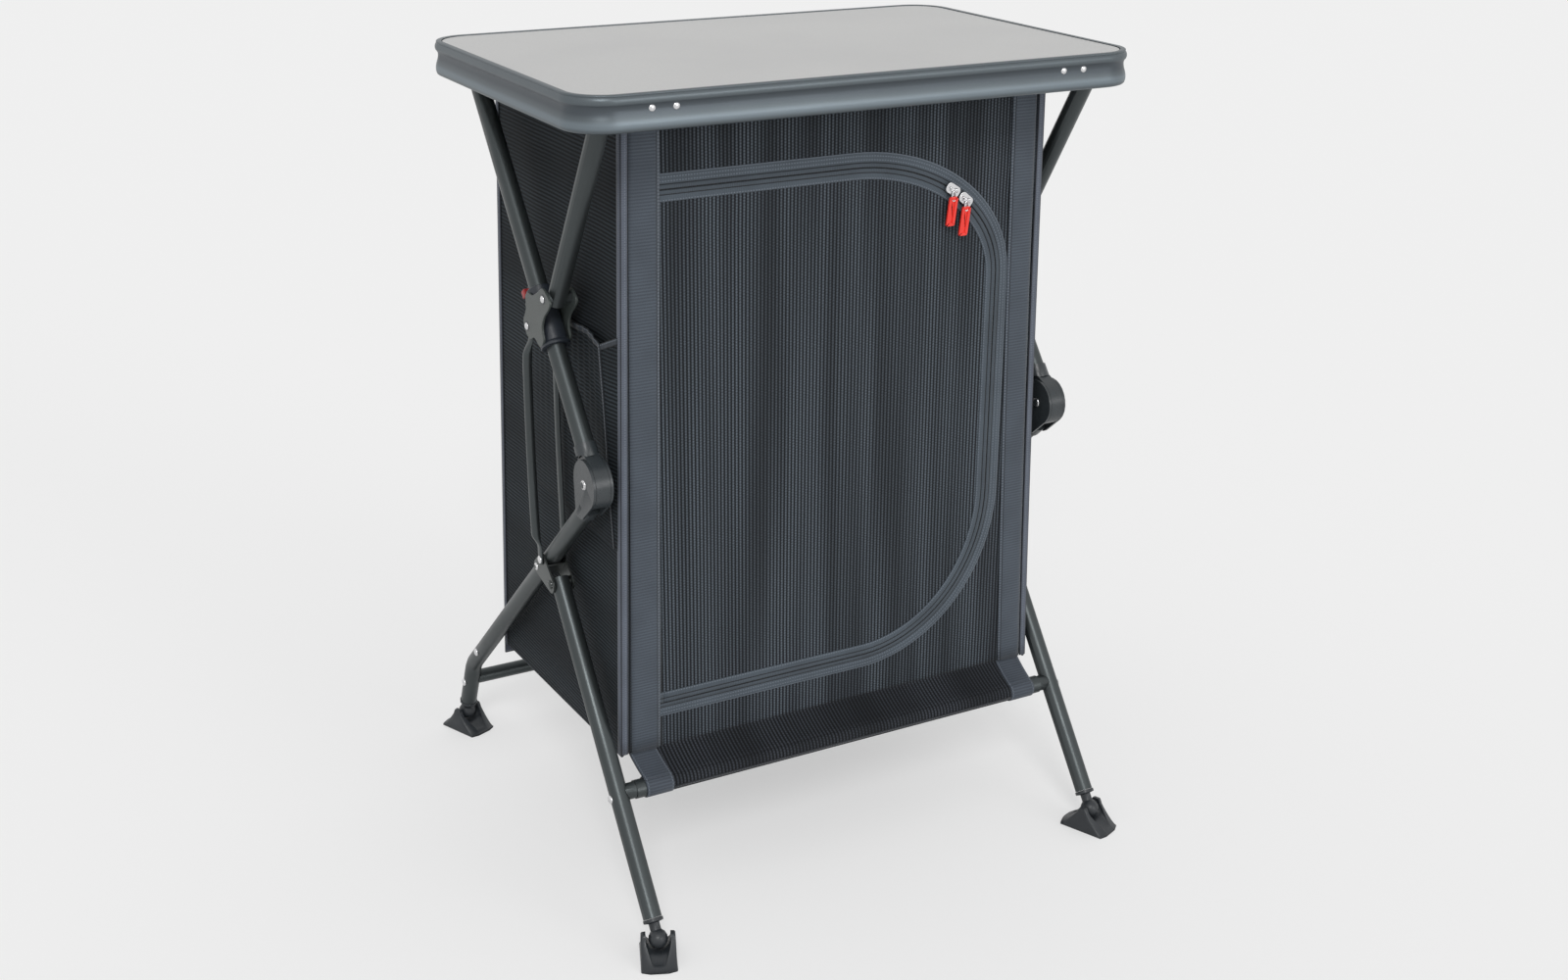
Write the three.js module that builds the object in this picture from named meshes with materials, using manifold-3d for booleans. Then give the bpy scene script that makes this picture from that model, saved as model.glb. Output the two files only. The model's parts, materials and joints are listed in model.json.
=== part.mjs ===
import * as THREE from 'three';
import { mergeVertices } from 'three/addons/utils/BufferGeometryUtils.js';
import Module from 'manifold-3d';

// A folding camping cupboard: a table on two scissor-jointed side frames, with a hanging cloth cabinet.
// Millimetres, +X to the right, +Y to the back, +Z up, the floor at zero.

// Shares and counts
const half = 0.5;
const hubShare = 0.318831;
const kneeShare = 0.528;
const bendShare = 0.619487;
const linkFootShare = 0.197949;
const crossbarShare = 0.264615;
const floorShare = 0.1959;
const shelfShare = 0.5949;
const pocketTopShare = 0.7159;
const pocketBottomShare = 0.46564;
const rimCornerSteps = 6;
const rimCurveSteps = 3;
const tubeSides = 16;
const pinSides = 10;
const discSides = 24;
const lobeSides = 16;
const ballSides = 12;
const bendSteps = 5;
const clothRows = 4;
const waveSteps = 4;
const frontWaves = 5;
const backWaves = 6;
const pocketRows = 3;
const zipSteps = 4;
const padWaistShare = 0.62;
const padShoulderShare = 0.35;
const rivetCrownShare = 0.55;

// Table
const tableWidth = 700;
const tableDepth = 456;
const tableHeight = 975;
const tableCornerRadius = 48;
const boardThickness = 10.6;
const boardRecess = 0.8;
const boardSoftEdge = 0.6;
const rimHeight = 39;
const rimWall = 12;
const rimLipWidth = 8;
const rimLipInset = 1.6;
const rimSoftEdge = 1.4;
const rimBeadTop = 35.5;
const rimBeadBottom = 28.5;
const rimWebDepth = 3.2;
const rimFootTop = 8.5;
const rimLedgeReach = 9;
const rimLedgeThickness = 2.6;

// Side frames: the plane of their tubes, and their pivots on the table
const frameInset = 44;
const tubeRadius = 11;
const frontPivotInset = 41;
const frontPivotDrop = 26;
const rearPivotInset = 51;
const rearPivotDrop = 34;
const braceOverrun = 6;
const pinRadius = 4;
const rivetHeadRadius = 5.4;
const rivetHeadHeight = 2.4;
const runningGap = 0.3;

// Rear strut, with the sliding hub's place on it and the knuckle at its foot
const strutLean = 51.67;
const kneeBehindStrut = 7;
const strutSocketAboveKnee = 43.8;
const strutEndAboveKnee = 30.8;
const kneeSocketRadius = 12.8;
const kneeRadius = 28.5;
const kneeThickness = 24;
const kneeCheek = 3.2;
const forkSweep = 4.6;

// Hub: a collar round the strut between two cheeks
const hubCollarRadius = 15.6;
const hubCollarAbove = 30;
const hubCollarBelow = 41;
const hubLipHeight = 3;
const hubLipReach = 1;
const hubCheekInner = 17;
const hubCheekThickness = 3;
const hubWaistRadius = 19;
const braceEarReach = 43.46;
const braceEarRadius = 13.5;
const braceEarNoseAlong = 8;
const braceEarNoseReach = 6;
const linkEarAlong = 3;
const linkEarReach = 24;
const linkEarRadius = 7.5;
const hubTipAlong = 38;
const hubTipRadius = 5;
const braceBossRadius = 8;

// Lock button on the back of the hub
const buttonAboveHub = 25;
const buttonOffset = 4;
const buttonRadius = 5;
const buttonInner = 13.5;
const buttonReach = 26;
const buttonBossRadius = 8;
const buttonBossReach = 21;

// Rear leg, from the knuckle down to its bend and foot
const rearLegLean = 42.04;
const rearLegBelowKnee = 15;
const rearLegStart = 31.6;
const rearLegSocketStart = 29;
const rearLegSocketEnd = 46;
const rearLegBendRadius = 60;
const rearFootLean = 66;
const rearCrossbarBelowBend = 31;
const bracketRivetBelowLink = 24;

// Front leg, hung from a bracket on the rear leg
const frontLegLean = 53.2;
const frontLegAboveLink = 2.4;
const frontLegBelowKnee = 48.9;
const frontLegOverrun = 6;

// Leg bracket
const bracketPlate = 2;
const bracketRivetLobe = 8;
const bracketPivotLobe = 10.5;

// Table brackets
const frontFlangeInward = 78;
const frontFlangeOutward = 16;
const frontFlangeHeight = 22;
const flangeThickness = 2;
const earThickness = 2.5;
const frontEarRadius = 11.4;
const frontEarFoot = 3;
const frontWebAhead = 18;
const rearEarRadius = 10;
const rearBracketLength = 34;

// Links, a flat oval bar either side of the hub
const linkWidth = 12;
const linkThickness = 5;
const linkEndThickness = 3;
const linkEndLength = 22;
const linkEndRadius = 6.4;
const linkRivetInset = 1;
const linkBow = 4;
const linkPinRadius = 3;

// Crossbars
const frontCrossbarRadius = 10;
const rearCrossbarRadius = 9.5;
const crossbarCollarRadius = 11.2;
const crossbarCollarLength = 22;
const crossbarCollarInset = 9;

// Feet: a plug with a ball, in a two-ended pad
const ballHeight = 26;
const ballRadius = 11.5;
const footDrop = 23.3;
const footFlangeRadius = 12;
const footFlangeThickness = 4;
const footNeckRadius = 6.5;
const padLength = 68;
const padWidth = 42;
const padEndSag = 5;
const padEdgeThickness = 3.5;
const padHeight = 29;
const padTroughRadius = 12.5;
const padTroughRise = 12;
const padLugHeight = 37;
const padLugThickness = 3;
const padLugLength = 9;
const padFillet = 1;
const padCupClearance = 0.95;
const padYaw = 22.5;

// Cloth cabinet
const clothThickness = 1.6;
const cabinetSideGap = 36;
const cabinetSideFlare = 18;
const cabinetFrontGap = 36;
const cabinetBackInset = 24;
const cabinetBackFlare = 17;
const cabinetFloorFall = 11;
const backHemDrop = 16;
const clothWave = 2.4;
const sideWaveWidth = 120;
const webbingWidth = 35;
const webbingThickness = 0.8;
const webbingStep = 1;
const skirtInset = 8;
const sleeveThickness = 1.4;

// Door in the front panel, with a zip round it
const doorLeftInset = 38;
const doorRightInset = 58;
const doorTopDrop = 118;
const doorBottomRise = 57;
const doorUpperWidth = 200;
const doorUpperHeight = 145;
const doorLowerWidth = 175;
const doorLowerHeight = 190;
const zipWidth = 6;
const zipRidge = 0.8;

// Zip sliders and their pull tabs
const sliderWidth = 9;
const sliderLength = 14;
const sliderThickness = 3.6;
const sliderSpacing = 22.3;
const sliderLean = 41.1;
const tabLength = 40;
const tabWidth = 11;
const tabThickness = 1.8;
const tabSlotWidth = 4.2;
const tabSlotInset = 3;
const tabBailRadius = 1.5;

// Stiff boards inside the cabinet
const panelThickness = 4;
const floorSideGap = 8;

// Pocket on the left side panel
const pocketFrontInset = 6;
const pocketLength = 255;
const pocketBulge = 3.2;
const pocketGatherDepth = 0.6;
const pocketGatherWidth = 17;

// Small overrun for cuts that pass right through
const overrun = 2;

// Sizes that follow from those above: the frame from the table, and the cabinet from the frame
const framePlane = tableWidth * half - frameInset;
const frontPivotAhead = tableDepth * half - frontPivotInset;
const rearPivotBehind = tableDepth * half - rearPivotInset;
const hubAlongStrut = tableHeight * hubShare;
const kneeAlongStrut = tableHeight * kneeShare;
const rearLegBend = tableHeight * bendShare;
const linkAlongLeg = tableHeight * linkFootShare;
const frontCrossbarAlong = tableHeight * crossbarShare;
const cabinetTopReach = framePlane - cabinetSideGap;
const cabinetBottomReach = cabinetTopReach + cabinetSideFlare;
const cabinetFront = frontPivotAhead - cabinetFrontGap;
const cabinetBackTop = tableDepth * half - cabinetBackInset;
const cabinetBackBottom = cabinetBackTop + cabinetBackFlare;
const cabinetFloorFront = tableHeight * floorShare;
const cabinetFloorBack = cabinetFloorFront - cabinetFloorFall;
const skirtReach = cabinetTopReach - skirtInset;
const doorLeft = cabinetTopReach - doorLeftInset;
const doorRight = cabinetTopReach - doorRightInset;
const doorTop = tableHeight - doorTopDrop;
const doorBottom = cabinetFloorFront + doorBottomRise;
const shelfHeight = tableHeight * shelfShare;
const pocketTop = tableHeight * pocketTopShare;
const pocketBottom = tableHeight * pocketBottomShare;

const degrees = Math.PI / 180;
const wasm = await Module();
wasm.setup();

// Solids from geometries, and back

function weld(geometry) {
  geometry.deleteAttribute('normal');
  geometry.deleteAttribute('uv');
  return mergeVertices(geometry);
}

function solidOf(geometry) {
  const index = geometry.index.array;
  const corners = [];
  for (let start = 0; start < index.length; start += 3) {
    const [a, b, c] = [index[start], index[start + 1], index[start + 2]];
    if (a !== b && b !== c && c !== a) corners.push(a, b, c);
  }
  const mesh = new wasm.Mesh({
    numProp: 3,
    vertProperties: Float32Array.from(geometry.attributes.position.array),
    triVerts: Uint32Array.from(corners),
  });
  return new wasm.Manifold(mesh);
}

function geometryOf(solid) {
  const mesh = solid.getMesh();
  const geometry = new THREE.BufferGeometry();
  geometry.setAttribute('position', new THREE.BufferAttribute(Float32Array.from(mesh.vertProperties), 3));
  geometry.setIndex(Array.from(mesh.triVerts));
  geometry.computeVertexNormals();
  return geometry;
}

function joined(solids) {
  return solids.reduce((whole, solid) => whole.add(solid));
}

function without(solid, cuts) {
  return cuts.reduce((rest, cut) => rest.subtract(cut), solid);
}

// A skin through equal rings of points, closed into a ring or capped at both ends
function loft(rings, closed = false) {
  const count = rings[0].length;
  const positions = rings.flat().flatMap((point) => [point.x, point.y, point.z]);
  const triangles = [];
  const spans = closed ? rings.length : rings.length - 1;
  for (let ring = 0; ring < spans; ring += 1) {
    const here = ring * count;
    const next = ((ring + 1) % rings.length) * count;
    for (let side = 0; side < count; side += 1) {
      const other = (side + 1) % count;
      triangles.push([here + side, here + other, next + other]);
      triangles.push([here + side, next + other, next + side]);
    }
  }
  if (!closed) {
    const last = (rings.length - 1) * count;
    for (let side = 1; side < count - 1; side += 1) {
      triangles.push([0, side + 1, side]);
      triangles.push([last, last + side, last + side + 1]);
    }
  }
  return closedSkin(positions, triangles);
}

// A solid of the given corners, with its faces turned to point out
function closedSkin(positions, triangles) {
  const corner = (index) => new THREE.Vector3().fromArray(positions, index * 3);
  let volume = 0;
  for (const [a, b, c] of triangles) volume += corner(a).dot(corner(b).cross(corner(c)));
  const outward = volume > 0 ? triangles : triangles.map(([a, b, c]) => [a, c, b]);
  const geometry = new THREE.BufferGeometry();
  geometry.setAttribute('position', new THREE.BufferAttribute(new Float32Array(positions), 3));
  geometry.setIndex(outward.flat());
  return solidOf(geometry);
}

function rod(from, to, radius, sides = tubeSides) {
  const axis = new THREE.Vector3().subVectors(to, from);
  const geometry = weld(new THREE.CylinderGeometry(radius, radius, axis.length(), sides));
  const turn = new THREE.Quaternion().setFromUnitVectors(THREE.Object3D.DEFAULT_UP, axis.clone().normalize());
  const middle = new THREE.Vector3().addVectors(from, to).multiplyScalar(half);
  geometry.applyQuaternion(turn);
  geometry.translate(middle.x, middle.y, middle.z);
  return solidOf(geometry);
}

function ball(centre, radius) {
  const geometry = weld(new THREE.SphereGeometry(radius, ballSides, ballSides * half));
  geometry.translate(centre.x, centre.y, centre.z);
  return solidOf(geometry);
}

function block(low, high) {
  const size = new THREE.Vector3().subVectors(high, low);
  const middle = new THREE.Vector3().addVectors(low, high).multiplyScalar(half);
  const geometry = weld(new THREE.BoxGeometry(size.x, size.y, size.z));
  geometry.translate(middle.x, middle.y, middle.z);
  return solidOf(geometry);
}

// The outline drawn tightly round a set of circles, each written as centre and radius
function outlineRound(circles, sides = lobeSides) {
  const points = [];
  for (const [centre, radius] of circles) {
    for (let side = 0; side < sides; side += 1) {
      const angle = (2 * Math.PI * side) / sides;
      points.push(new THREE.Vector2(centre.x + radius * Math.cos(angle), centre.y + radius * Math.sin(angle)));
    }
  }
  points.sort((a, b) => a.x - b.x || a.y - b.y);
  const turn = (a, b, c) => (b.x - a.x) * (c.y - a.y) - (b.y - a.y) * (c.x - a.x);
  const chain = (ordered) => {
    const kept = [];
    for (const point of ordered) {
      while (kept.length > 1 && turn(kept[kept.length - 2], kept[kept.length - 1], point) <= 0) kept.pop();
      kept.push(point);
    }
    kept.pop();
    return kept;
  };
  return new THREE.Shape([...chain(points), ...chain([...points].reverse())]);
}

// Places on the side frames: a point of the frame's plane is (depth, height), out is away from the cupboard

function place(sign, out, point) {
  return new THREE.Vector3(sign * (framePlane + out), point.x, point.y);
}

function slope(lean) {
  return new THREE.Vector2(Math.cos(lean * degrees), -Math.sin(lean * degrees));
}

function slopeAhead(lean) {
  return new THREE.Vector2(-Math.cos(lean * degrees), -Math.sin(lean * degrees));
}

function stepFrom(origin, direction, along, side = 0) {
  const normal = new THREE.Vector2(-direction.y, direction.x);
  return origin.clone().addScaledVector(direction, along).addScaledVector(normal, side);
}

function crossRod(sign, point, outFrom, outTo, radius, sides = pinSides) {
  return rod(place(sign, outFrom, point), place(sign, outTo, point), radius, sides);
}

// Turns a drawing of (depth, height) so that its third axis points to the right
function frameBasis() {
  const [right, back, up] = [new THREE.Vector3(1, 0, 0), new THREE.Vector3(0, 1, 0), new THREE.Vector3(0, 0, 1)];
  return new THREE.Matrix4().makeBasis(back, up, right);
}

function sidePlate(sign, shape, outFrom, outTo) {
  const geometry = weld(new THREE.ExtrudeGeometry(shape, { depth: outTo - outFrom, bevelEnabled: false }));
  geometry.applyMatrix4(frameBasis());
  geometry.translate(Math.min(sign * (framePlane + outFrom), sign * (framePlane + outTo)), 0, 0);
  return solidOf(geometry);
}

// A domed rivet head standing on a side face
function rivetHead(sign, point, outFrom, direction, radius = rivetHeadRadius) {
  const crown = radius * rivetCrownShare;
  const foot = rivetHeadHeight * half;
  const profile = [[0, 0], [radius, 0], [radius, foot], [crown, rivetHeadHeight], [0, rivetHeadHeight]];
  const points = profile.map(([x, y]) => new THREE.Vector2(x, y));
  const geometry = weld(new THREE.LatheGeometry(points, pinSides));
  const facing = new THREE.Vector3(sign * direction, 0, 0);
  geometry.applyQuaternion(new THREE.Quaternion().setFromUnitVectors(THREE.Object3D.DEFAULT_UP, facing));
  const seat = place(sign, outFrom, point);
  geometry.translate(seat.x, seat.y, seat.z);
  return solidOf(geometry);
}

// The frame's own geometry, from the table's pivots down to the feet

const frontPivot = new THREE.Vector2(-frontPivotAhead, tableHeight - frontPivotDrop);
const rearPivot = new THREE.Vector2(rearPivotBehind, tableHeight - rearPivotDrop);
const strutDown = slopeAhead(strutLean);
const onStrut = (along, ahead) => stepFrom(rearPivot, strutDown, along, -ahead);
const hubPoint = (below, ahead) => onStrut(hubAlongStrut + below, ahead);
const bracePivot = hubPoint(0, braceEarReach);
const linkTop = hubPoint(linkEarAlong, -linkEarReach);
const knee = onStrut(kneeAlongStrut, -kneeBehindStrut);
const strutEnd = kneeAlongStrut - strutEndAboveKnee;
const strutSocketStart = kneeAlongStrut - strutSocketAboveKnee;
const legDown = slope(rearLegLean);
const onRearLeg = (along, above = 0) => stepFrom(knee, legDown, along, above - rearLegBelowKnee);
const linkFoot = onRearLeg(linkAlongLeg);
const bracketRivetAlongLeg = linkAlongLeg + bracketRivetBelowLink;
const bracketRivet = onRearLeg(bracketRivetAlongLeg);
const bendPoint = onRearLeg(rearLegBend);
const footDown = slope(rearFootLean);
const onRearFoot = (along, side = 0) => stepFrom(bendPoint, footDown, along, side);
const rearBall = onRearFoot((bendPoint.y - ballHeight) / Math.sin(rearFootLean * degrees));
const rearTubeEnd = stepFrom(rearBall, footDown, -footDrop);
const frontLegPivot = stepFrom(knee, legDown, linkAlongLeg - frontLegAboveLink, -frontLegBelowKnee);
const frontDown = slopeAhead(frontLegLean);
const onFrontLeg = (along, side = 0) => stepFrom(frontLegPivot, frontDown, along, side);
const frontBall = onFrontLeg((frontLegPivot.y - ballHeight) / Math.sin(frontLegLean * degrees));
const frontTubeEnd = stepFrom(frontBall, frontDown, -footDrop);
const frontCrossbarPoint = onFrontLeg(frontCrossbarAlong);
const rearCrossbarPoint = onRearFoot(rearCrossbarBelowBend);
const boardTop = tableHeight - boardRecess;
const boardUnderside = boardTop - boardThickness;
const rimBottom = tableHeight - rimHeight;
const rimInnerFront = tableDepth * half - rimWall;
const rimLedgeBottom = boardUnderside - runningGap - rimLedgeThickness;
const clothTop = boardUnderside - runningGap;

// Table

function cornerTurns() {
  const turns = [];
  for (const [quarter, signX, signY] of [[0, 1, 1], [1, -1, 1], [2, -1, -1], [3, 1, -1]]) {
    for (let step = 0; step <= rimCornerSteps; step += 1) {
      const angle = (quarter + step / rimCornerSteps) * Math.PI * half;
      turns.push({ signX, signY, outX: Math.cos(angle), outY: Math.sin(angle) });
    }
  }
  return turns;
}

function roundedRectangle(width, depth, radius) {
  const [cornerX, cornerY] = [width * half - radius, depth * half - radius];
  return new THREE.Shape(cornerTurns().map(({ signX, signY, outX, outY }) => (
    new THREE.Vector2(signX * cornerX + radius * outX, signY * cornerY + radius * outY)
  )));
}

function tabletopBoard() {
  const inset = rimLipWidth + runningGap + boardSoftEdge;
  const radius = tableCornerRadius - inset;
  const shape = roundedRectangle(tableWidth - 2 * inset, tableDepth - 2 * inset, radius);
  const geometry = weld(new THREE.ExtrudeGeometry(shape, {
    depth: boardThickness - 2 * boardSoftEdge,
    bevelThickness: boardSoftEdge,
    bevelSize: boardSoftEdge,
    bevelSegments: 1,
  }));
  geometry.translate(0, 0, boardUnderside + boardSoftEdge);
  return solidOf(geometry);
}

// The rim's section: x is inward from its outer face, y is up from its lower edge
function rimSection() {
  const section = new THREE.Shape();
  const ledgeTop = rimHeight - boardRecess - boardThickness - runningGap;
  const ledgeInner = rimWall + rimLedgeReach;
  section.moveTo(rimLipWidth, rimHeight);
  section.lineTo(rimLipInset + rimSoftEdge, rimHeight);
  section.quadraticCurveTo(rimLipInset, rimHeight, rimLipInset, rimHeight - rimSoftEdge);
  section.lineTo(rimLipInset, rimBeadTop);
  section.bezierCurveTo(0, rimBeadTop, 0, rimBeadBottom, rimWebDepth, rimBeadBottom);
  section.quadraticCurveTo(rimWebDepth + rimSoftEdge, (rimBeadBottom + rimFootTop) * half, rimWebDepth, rimFootTop);
  section.bezierCurveTo(0, rimFootTop, 0, rimSoftEdge, rimSoftEdge, 0);
  section.lineTo(rimWall, 0);
  section.lineTo(rimWall, ledgeTop - rimLedgeThickness);
  section.lineTo(ledgeInner, ledgeTop - rimLedgeThickness);
  section.lineTo(ledgeInner, ledgeTop);
  section.lineTo(rimLipWidth, ledgeTop);
  return section.getPoints(rimCurveSteps);
}

function tabletopRim() {
  const section = rimSection();
  const [cornerX, cornerY] = [tableWidth * half - tableCornerRadius, tableDepth * half - tableCornerRadius];
  const rings = cornerTurns().map(({ signX, signY, outX, outY }) => section.map((point) => new THREE.Vector3(
    signX * cornerX + (tableCornerRadius - point.x) * outX,
    signY * cornerY + (tableCornerRadius - point.x) * outY,
    rimBottom + point.y,
  )));
  return loft(rings, true);
}

// Brackets under the table

function frontBracket(sign) {
  const flangeFace = -rimInnerFront + runningGap;
  const flangeTop = rimLedgeBottom - runningGap;
  const flangeBack = flangeFace + flangeThickness;
  const [xInner, xOuter] = [sign * (framePlane - frontFlangeInward), sign * (framePlane + frontFlangeOutward)];
  const flange = block(
    new THREE.Vector3(Math.min(xInner, xOuter), flangeFace, flangeTop - frontFlangeHeight),
    new THREE.Vector3(Math.max(xInner, xOuter), flangeBack, flangeTop),
  );
  const footRadius = frontEarFoot;
  const upperFoot = new THREE.Vector2(flangeBack, flangeTop - footRadius);
  const lowerFoot = new THREE.Vector2(flangeBack, flangeTop - frontFlangeHeight + footRadius);
  const outline = outlineRound([[frontPivot, frontEarRadius], [upperFoot, footRadius], [lowerFoot, footRadius]]);
  const inner = tubeRadius + 2 * runningGap;
  const outer = inner + earThickness;
  const web = block(
    new THREE.Vector3(sign * framePlane - outer, frontPivot.x - frontWebAhead, flangeTop - frontFlangeHeight),
    new THREE.Vector3(sign * framePlane + outer, frontPivot.x - frontWebAhead + flangeThickness, flangeTop),
  );
  const pieces = [
    flange,
    web,
    sidePlate(sign, outline, inner, outer),
    sidePlate(sign, outline, -outer, -inner),
    crossRod(sign, frontPivot, -outer, outer, pinRadius),
    rivetHead(sign, frontPivot, outer, 1),
    rivetHead(sign, frontPivot, -outer, -1),
  ];
  return joined(pieces).intersect(insideRim());
}

// The space inside the rim's inner face, that the brackets are trimmed to
function insideRim() {
  const inset = rimWall + runningGap;
  const shape = roundedRectangle(tableWidth - 2 * inset, tableDepth - 2 * inset, tableCornerRadius - inset);
  const geometry = weld(new THREE.ExtrudeGeometry(shape, { depth: tableHeight, bevelEnabled: false }));
  return solidOf(geometry);
}

function rearBracket(sign) {
  const top = boardUnderside - runningGap;
  const inner = tubeRadius + 2 * runningGap;
  const outer = inner + earThickness;
  const reach = rearBracketLength * half;
  const web = block(
    new THREE.Vector3(sign * framePlane - outer, rearPivot.x - reach, top - flangeThickness),
    new THREE.Vector3(sign * framePlane + outer, rearPivot.x + reach, top),
  );
  const corner = frontEarFoot;
  const ends = [-1, 1].map((end) => {
    const centre = new THREE.Vector2(rearPivot.x + end * (reach - corner), top - corner);
    return [centre, corner];
  });
  const outline = outlineRound([[rearPivot, rearEarRadius], ...ends]);
  return joined([web, sidePlate(sign, outline, inner, outer), sidePlate(sign, outline, -outer, -inner)]);
}

// Front brace, from the table to the hub's front ear

function frontBrace(sign) {
  const down = new THREE.Vector2().subVectors(bracePivot, frontPivot).normalize();
  const top = stepFrom(frontPivot, down, -braceOverrun);
  const bottom = stepFrom(bracePivot, down, braceOverrun);
  const boss = hubCheekInner - runningGap;
  const tube = joined([
    rod(place(sign, 0, top), place(sign, 0, bottom), tubeRadius),
    crossRod(sign, bracePivot, -boss, boss, braceBossRadius, tubeSides),
  ]);
  const reach = boss + overrun;
  return without(tube, [
    crossRod(sign, frontPivot, -reach, reach, pinRadius + runningGap),
    crossRod(sign, bracePivot, -reach, reach, pinRadius + runningGap),
  ]);
}

// Rear strut, from the table through the hub to the knuckle

function rearStrut(sign) {
  const tube = rod(place(sign, 0, rearPivot), place(sign, 0, onStrut(strutEnd, 0)), tubeRadius, tubeSides);
  return tube.add(ball(place(sign, 0, rearPivot), tubeRadius));
}

// Hub: the collar that slides on the strut, with cheeks that carry the brace and the two links

function hubCheek(sign, outFrom, outTo) {
  const braceNose = hubPoint(braceEarNoseAlong, braceEarReach + braceEarNoseReach);
  const waist = [hubPoint(0, 0), hubWaistRadius];
  const lobes = [
    [waist, [bracePivot, braceEarRadius], [braceNose, braceEarRadius]],
    [waist, [linkTop, linkEarRadius]],
    [waist, [hubPoint(hubTipAlong, -linkEarRadius * half), hubTipRadius]],
  ];
  return joined(lobes.map((circles) => sidePlate(sign, outlineRound(circles), outFrom, outTo)));
}

function hub(sign) {
  const cheekOuter = hubCheekInner + hubCheekThickness;
  const collarTop = place(sign, 0, hubPoint(-hubCollarAbove, 0));
  const collarBottom = place(sign, 0, hubPoint(hubCollarBelow, 0));
  const lipTop = place(sign, 0, hubPoint(hubCollarBelow - hubLipHeight, 0));
  const rib = outlineRound([
    [hubPoint(-hubCollarAbove + hubTipRadius, 0), hubTipRadius],
    [hubPoint(hubTipAlong, 0), hubTipRadius],
  ]);
  const boss = place(sign, buttonOffset, hubPoint(-buttonAboveHub, 0));
  const bossEnd = place(sign, buttonOffset, hubPoint(-buttonAboveHub, -buttonBossReach));
  const body = joined([
    rod(collarTop, collarBottom, hubCollarRadius, lobeSides),
    rod(lipTop, collarBottom, hubCollarRadius + hubLipReach, lobeSides),
    sidePlate(sign, rib, -cheekOuter, cheekOuter),
    hubCheek(sign, hubCheekInner, cheekOuter),
    hubCheek(sign, -cheekOuter, -hubCheekInner),
    rod(boss, bossEnd, buttonBossRadius, lobeSides),
  ]);
  const boreTop = place(sign, 0, hubPoint(-hubCollarAbove - buttonBossRadius, 0));
  const boreBottom = place(sign, 0, hubPoint(hubCollarBelow + overrun, 0));
  const buttonEnd = place(sign, buttonOffset, hubPoint(-buttonAboveHub, -buttonReach));
  const bored = without(body, [
    rod(boreTop, boreBottom, tubeRadius + runningGap, lobeSides),
    rod(boss, buttonEnd, buttonRadius + runningGap, lobeSides),
  ]);
  return joined([
    bored,
    crossRod(sign, bracePivot, -cheekOuter, cheekOuter, pinRadius),
    crossRod(sign, linkTop, -cheekOuter, cheekOuter, linkPinRadius),
    rivetHead(sign, bracePivot, cheekOuter, 1),
    rivetHead(sign, bracePivot, -cheekOuter, -1),
    rivetHead(sign, linkTop, cheekOuter, 1),
    rivetHead(sign, linkTop, -cheekOuter, -1),
  ]);
}

function lockButton(sign) {
  const inner = place(sign, buttonOffset, hubPoint(-buttonAboveHub, -buttonInner));
  const outer = place(sign, buttonOffset, hubPoint(-buttonAboveHub, -buttonReach));
  return rod(inner, outer, buttonRadius, tubeSides);
}

// Knuckle between the strut and the rear leg: a drum on the strut, a fork on the leg

function upperKnuckle(sign) {
  const cheekInner = kneeThickness * half - kneeCheek;
  const drumHalf = cheekInner - runningGap;
  const socketEnd = onStrut(kneeAlongStrut - kneeRadius + overrun, 0);
  const neckEnd = onStrut(strutEnd + overrun, 0);
  const neck = outlineRound([[knee, kneeRadius], [neckEnd, kneeSocketRadius - forkSweep]], discSides);
  const body = joined([
    sidePlate(sign, neck, -drumHalf, drumHalf),
    rod(place(sign, 0, onStrut(strutSocketStart, 0)), place(sign, 0, socketEnd), kneeSocketRadius, lobeSides),
  ]);
  const socketTop = place(sign, 0, onStrut(strutSocketStart - overrun, 0));
  const socketFloor = place(sign, 0, onStrut(strutEnd + runningGap, 0));
  return without(body, [
    rod(socketTop, socketFloor, tubeRadius + runningGap, lobeSides),
    crossRod(sign, knee, -kneeRadius, kneeRadius, pinRadius + runningGap),
    forkRoom(sign),
  ]);
}

// The room that the fork's two discs and their necks turn in, cut from the drum's sides
function forkRoom(sign) {
  const reach = kneeThickness * half + runningGap;
  const inner = reach - kneeCheek - 2 * runningGap;
  const outline = outlineRound([[knee, kneeRadius + forkSweep]], discSides);
  return joined([
    sidePlate(sign, outline, inner, reach + overrun),
    sidePlate(sign, outline, -reach - overrun, -inner),
  ]);
}

function lowerKnuckle(sign) {
  const outer = kneeThickness * half;
  const inner = outer - kneeCheek;
  const socketStart = place(sign, 0, onRearLeg(rearLegSocketStart));
  const socketEnd = place(sign, 0, onRearLeg(rearLegSocketEnd));
  const outline = outlineRound([[knee, kneeRadius], [onRearLeg(rearLegStart), kneeSocketRadius]], discSides);
  const body = joined([
    sidePlate(sign, outline, inner, outer),
    sidePlate(sign, outline, -outer, -inner),
    rod(socketStart, socketEnd, kneeSocketRadius, lobeSides),
    crossRod(sign, knee, -outer, outer, pinRadius),
    rivetHead(sign, knee, outer, 1),
    rivetHead(sign, knee, -outer, -1),
  ]);
  const socketFloor = place(sign, 0, onRearLeg(rearLegStart - runningGap));
  const socketMouth = place(sign, 0, onRearLeg(rearLegSocketEnd + overrun));
  return body.subtract(rod(socketFloor, socketMouth, tubeRadius + runningGap, lobeSides));
}

// Rear leg: one tube, bent above the foot

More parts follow.
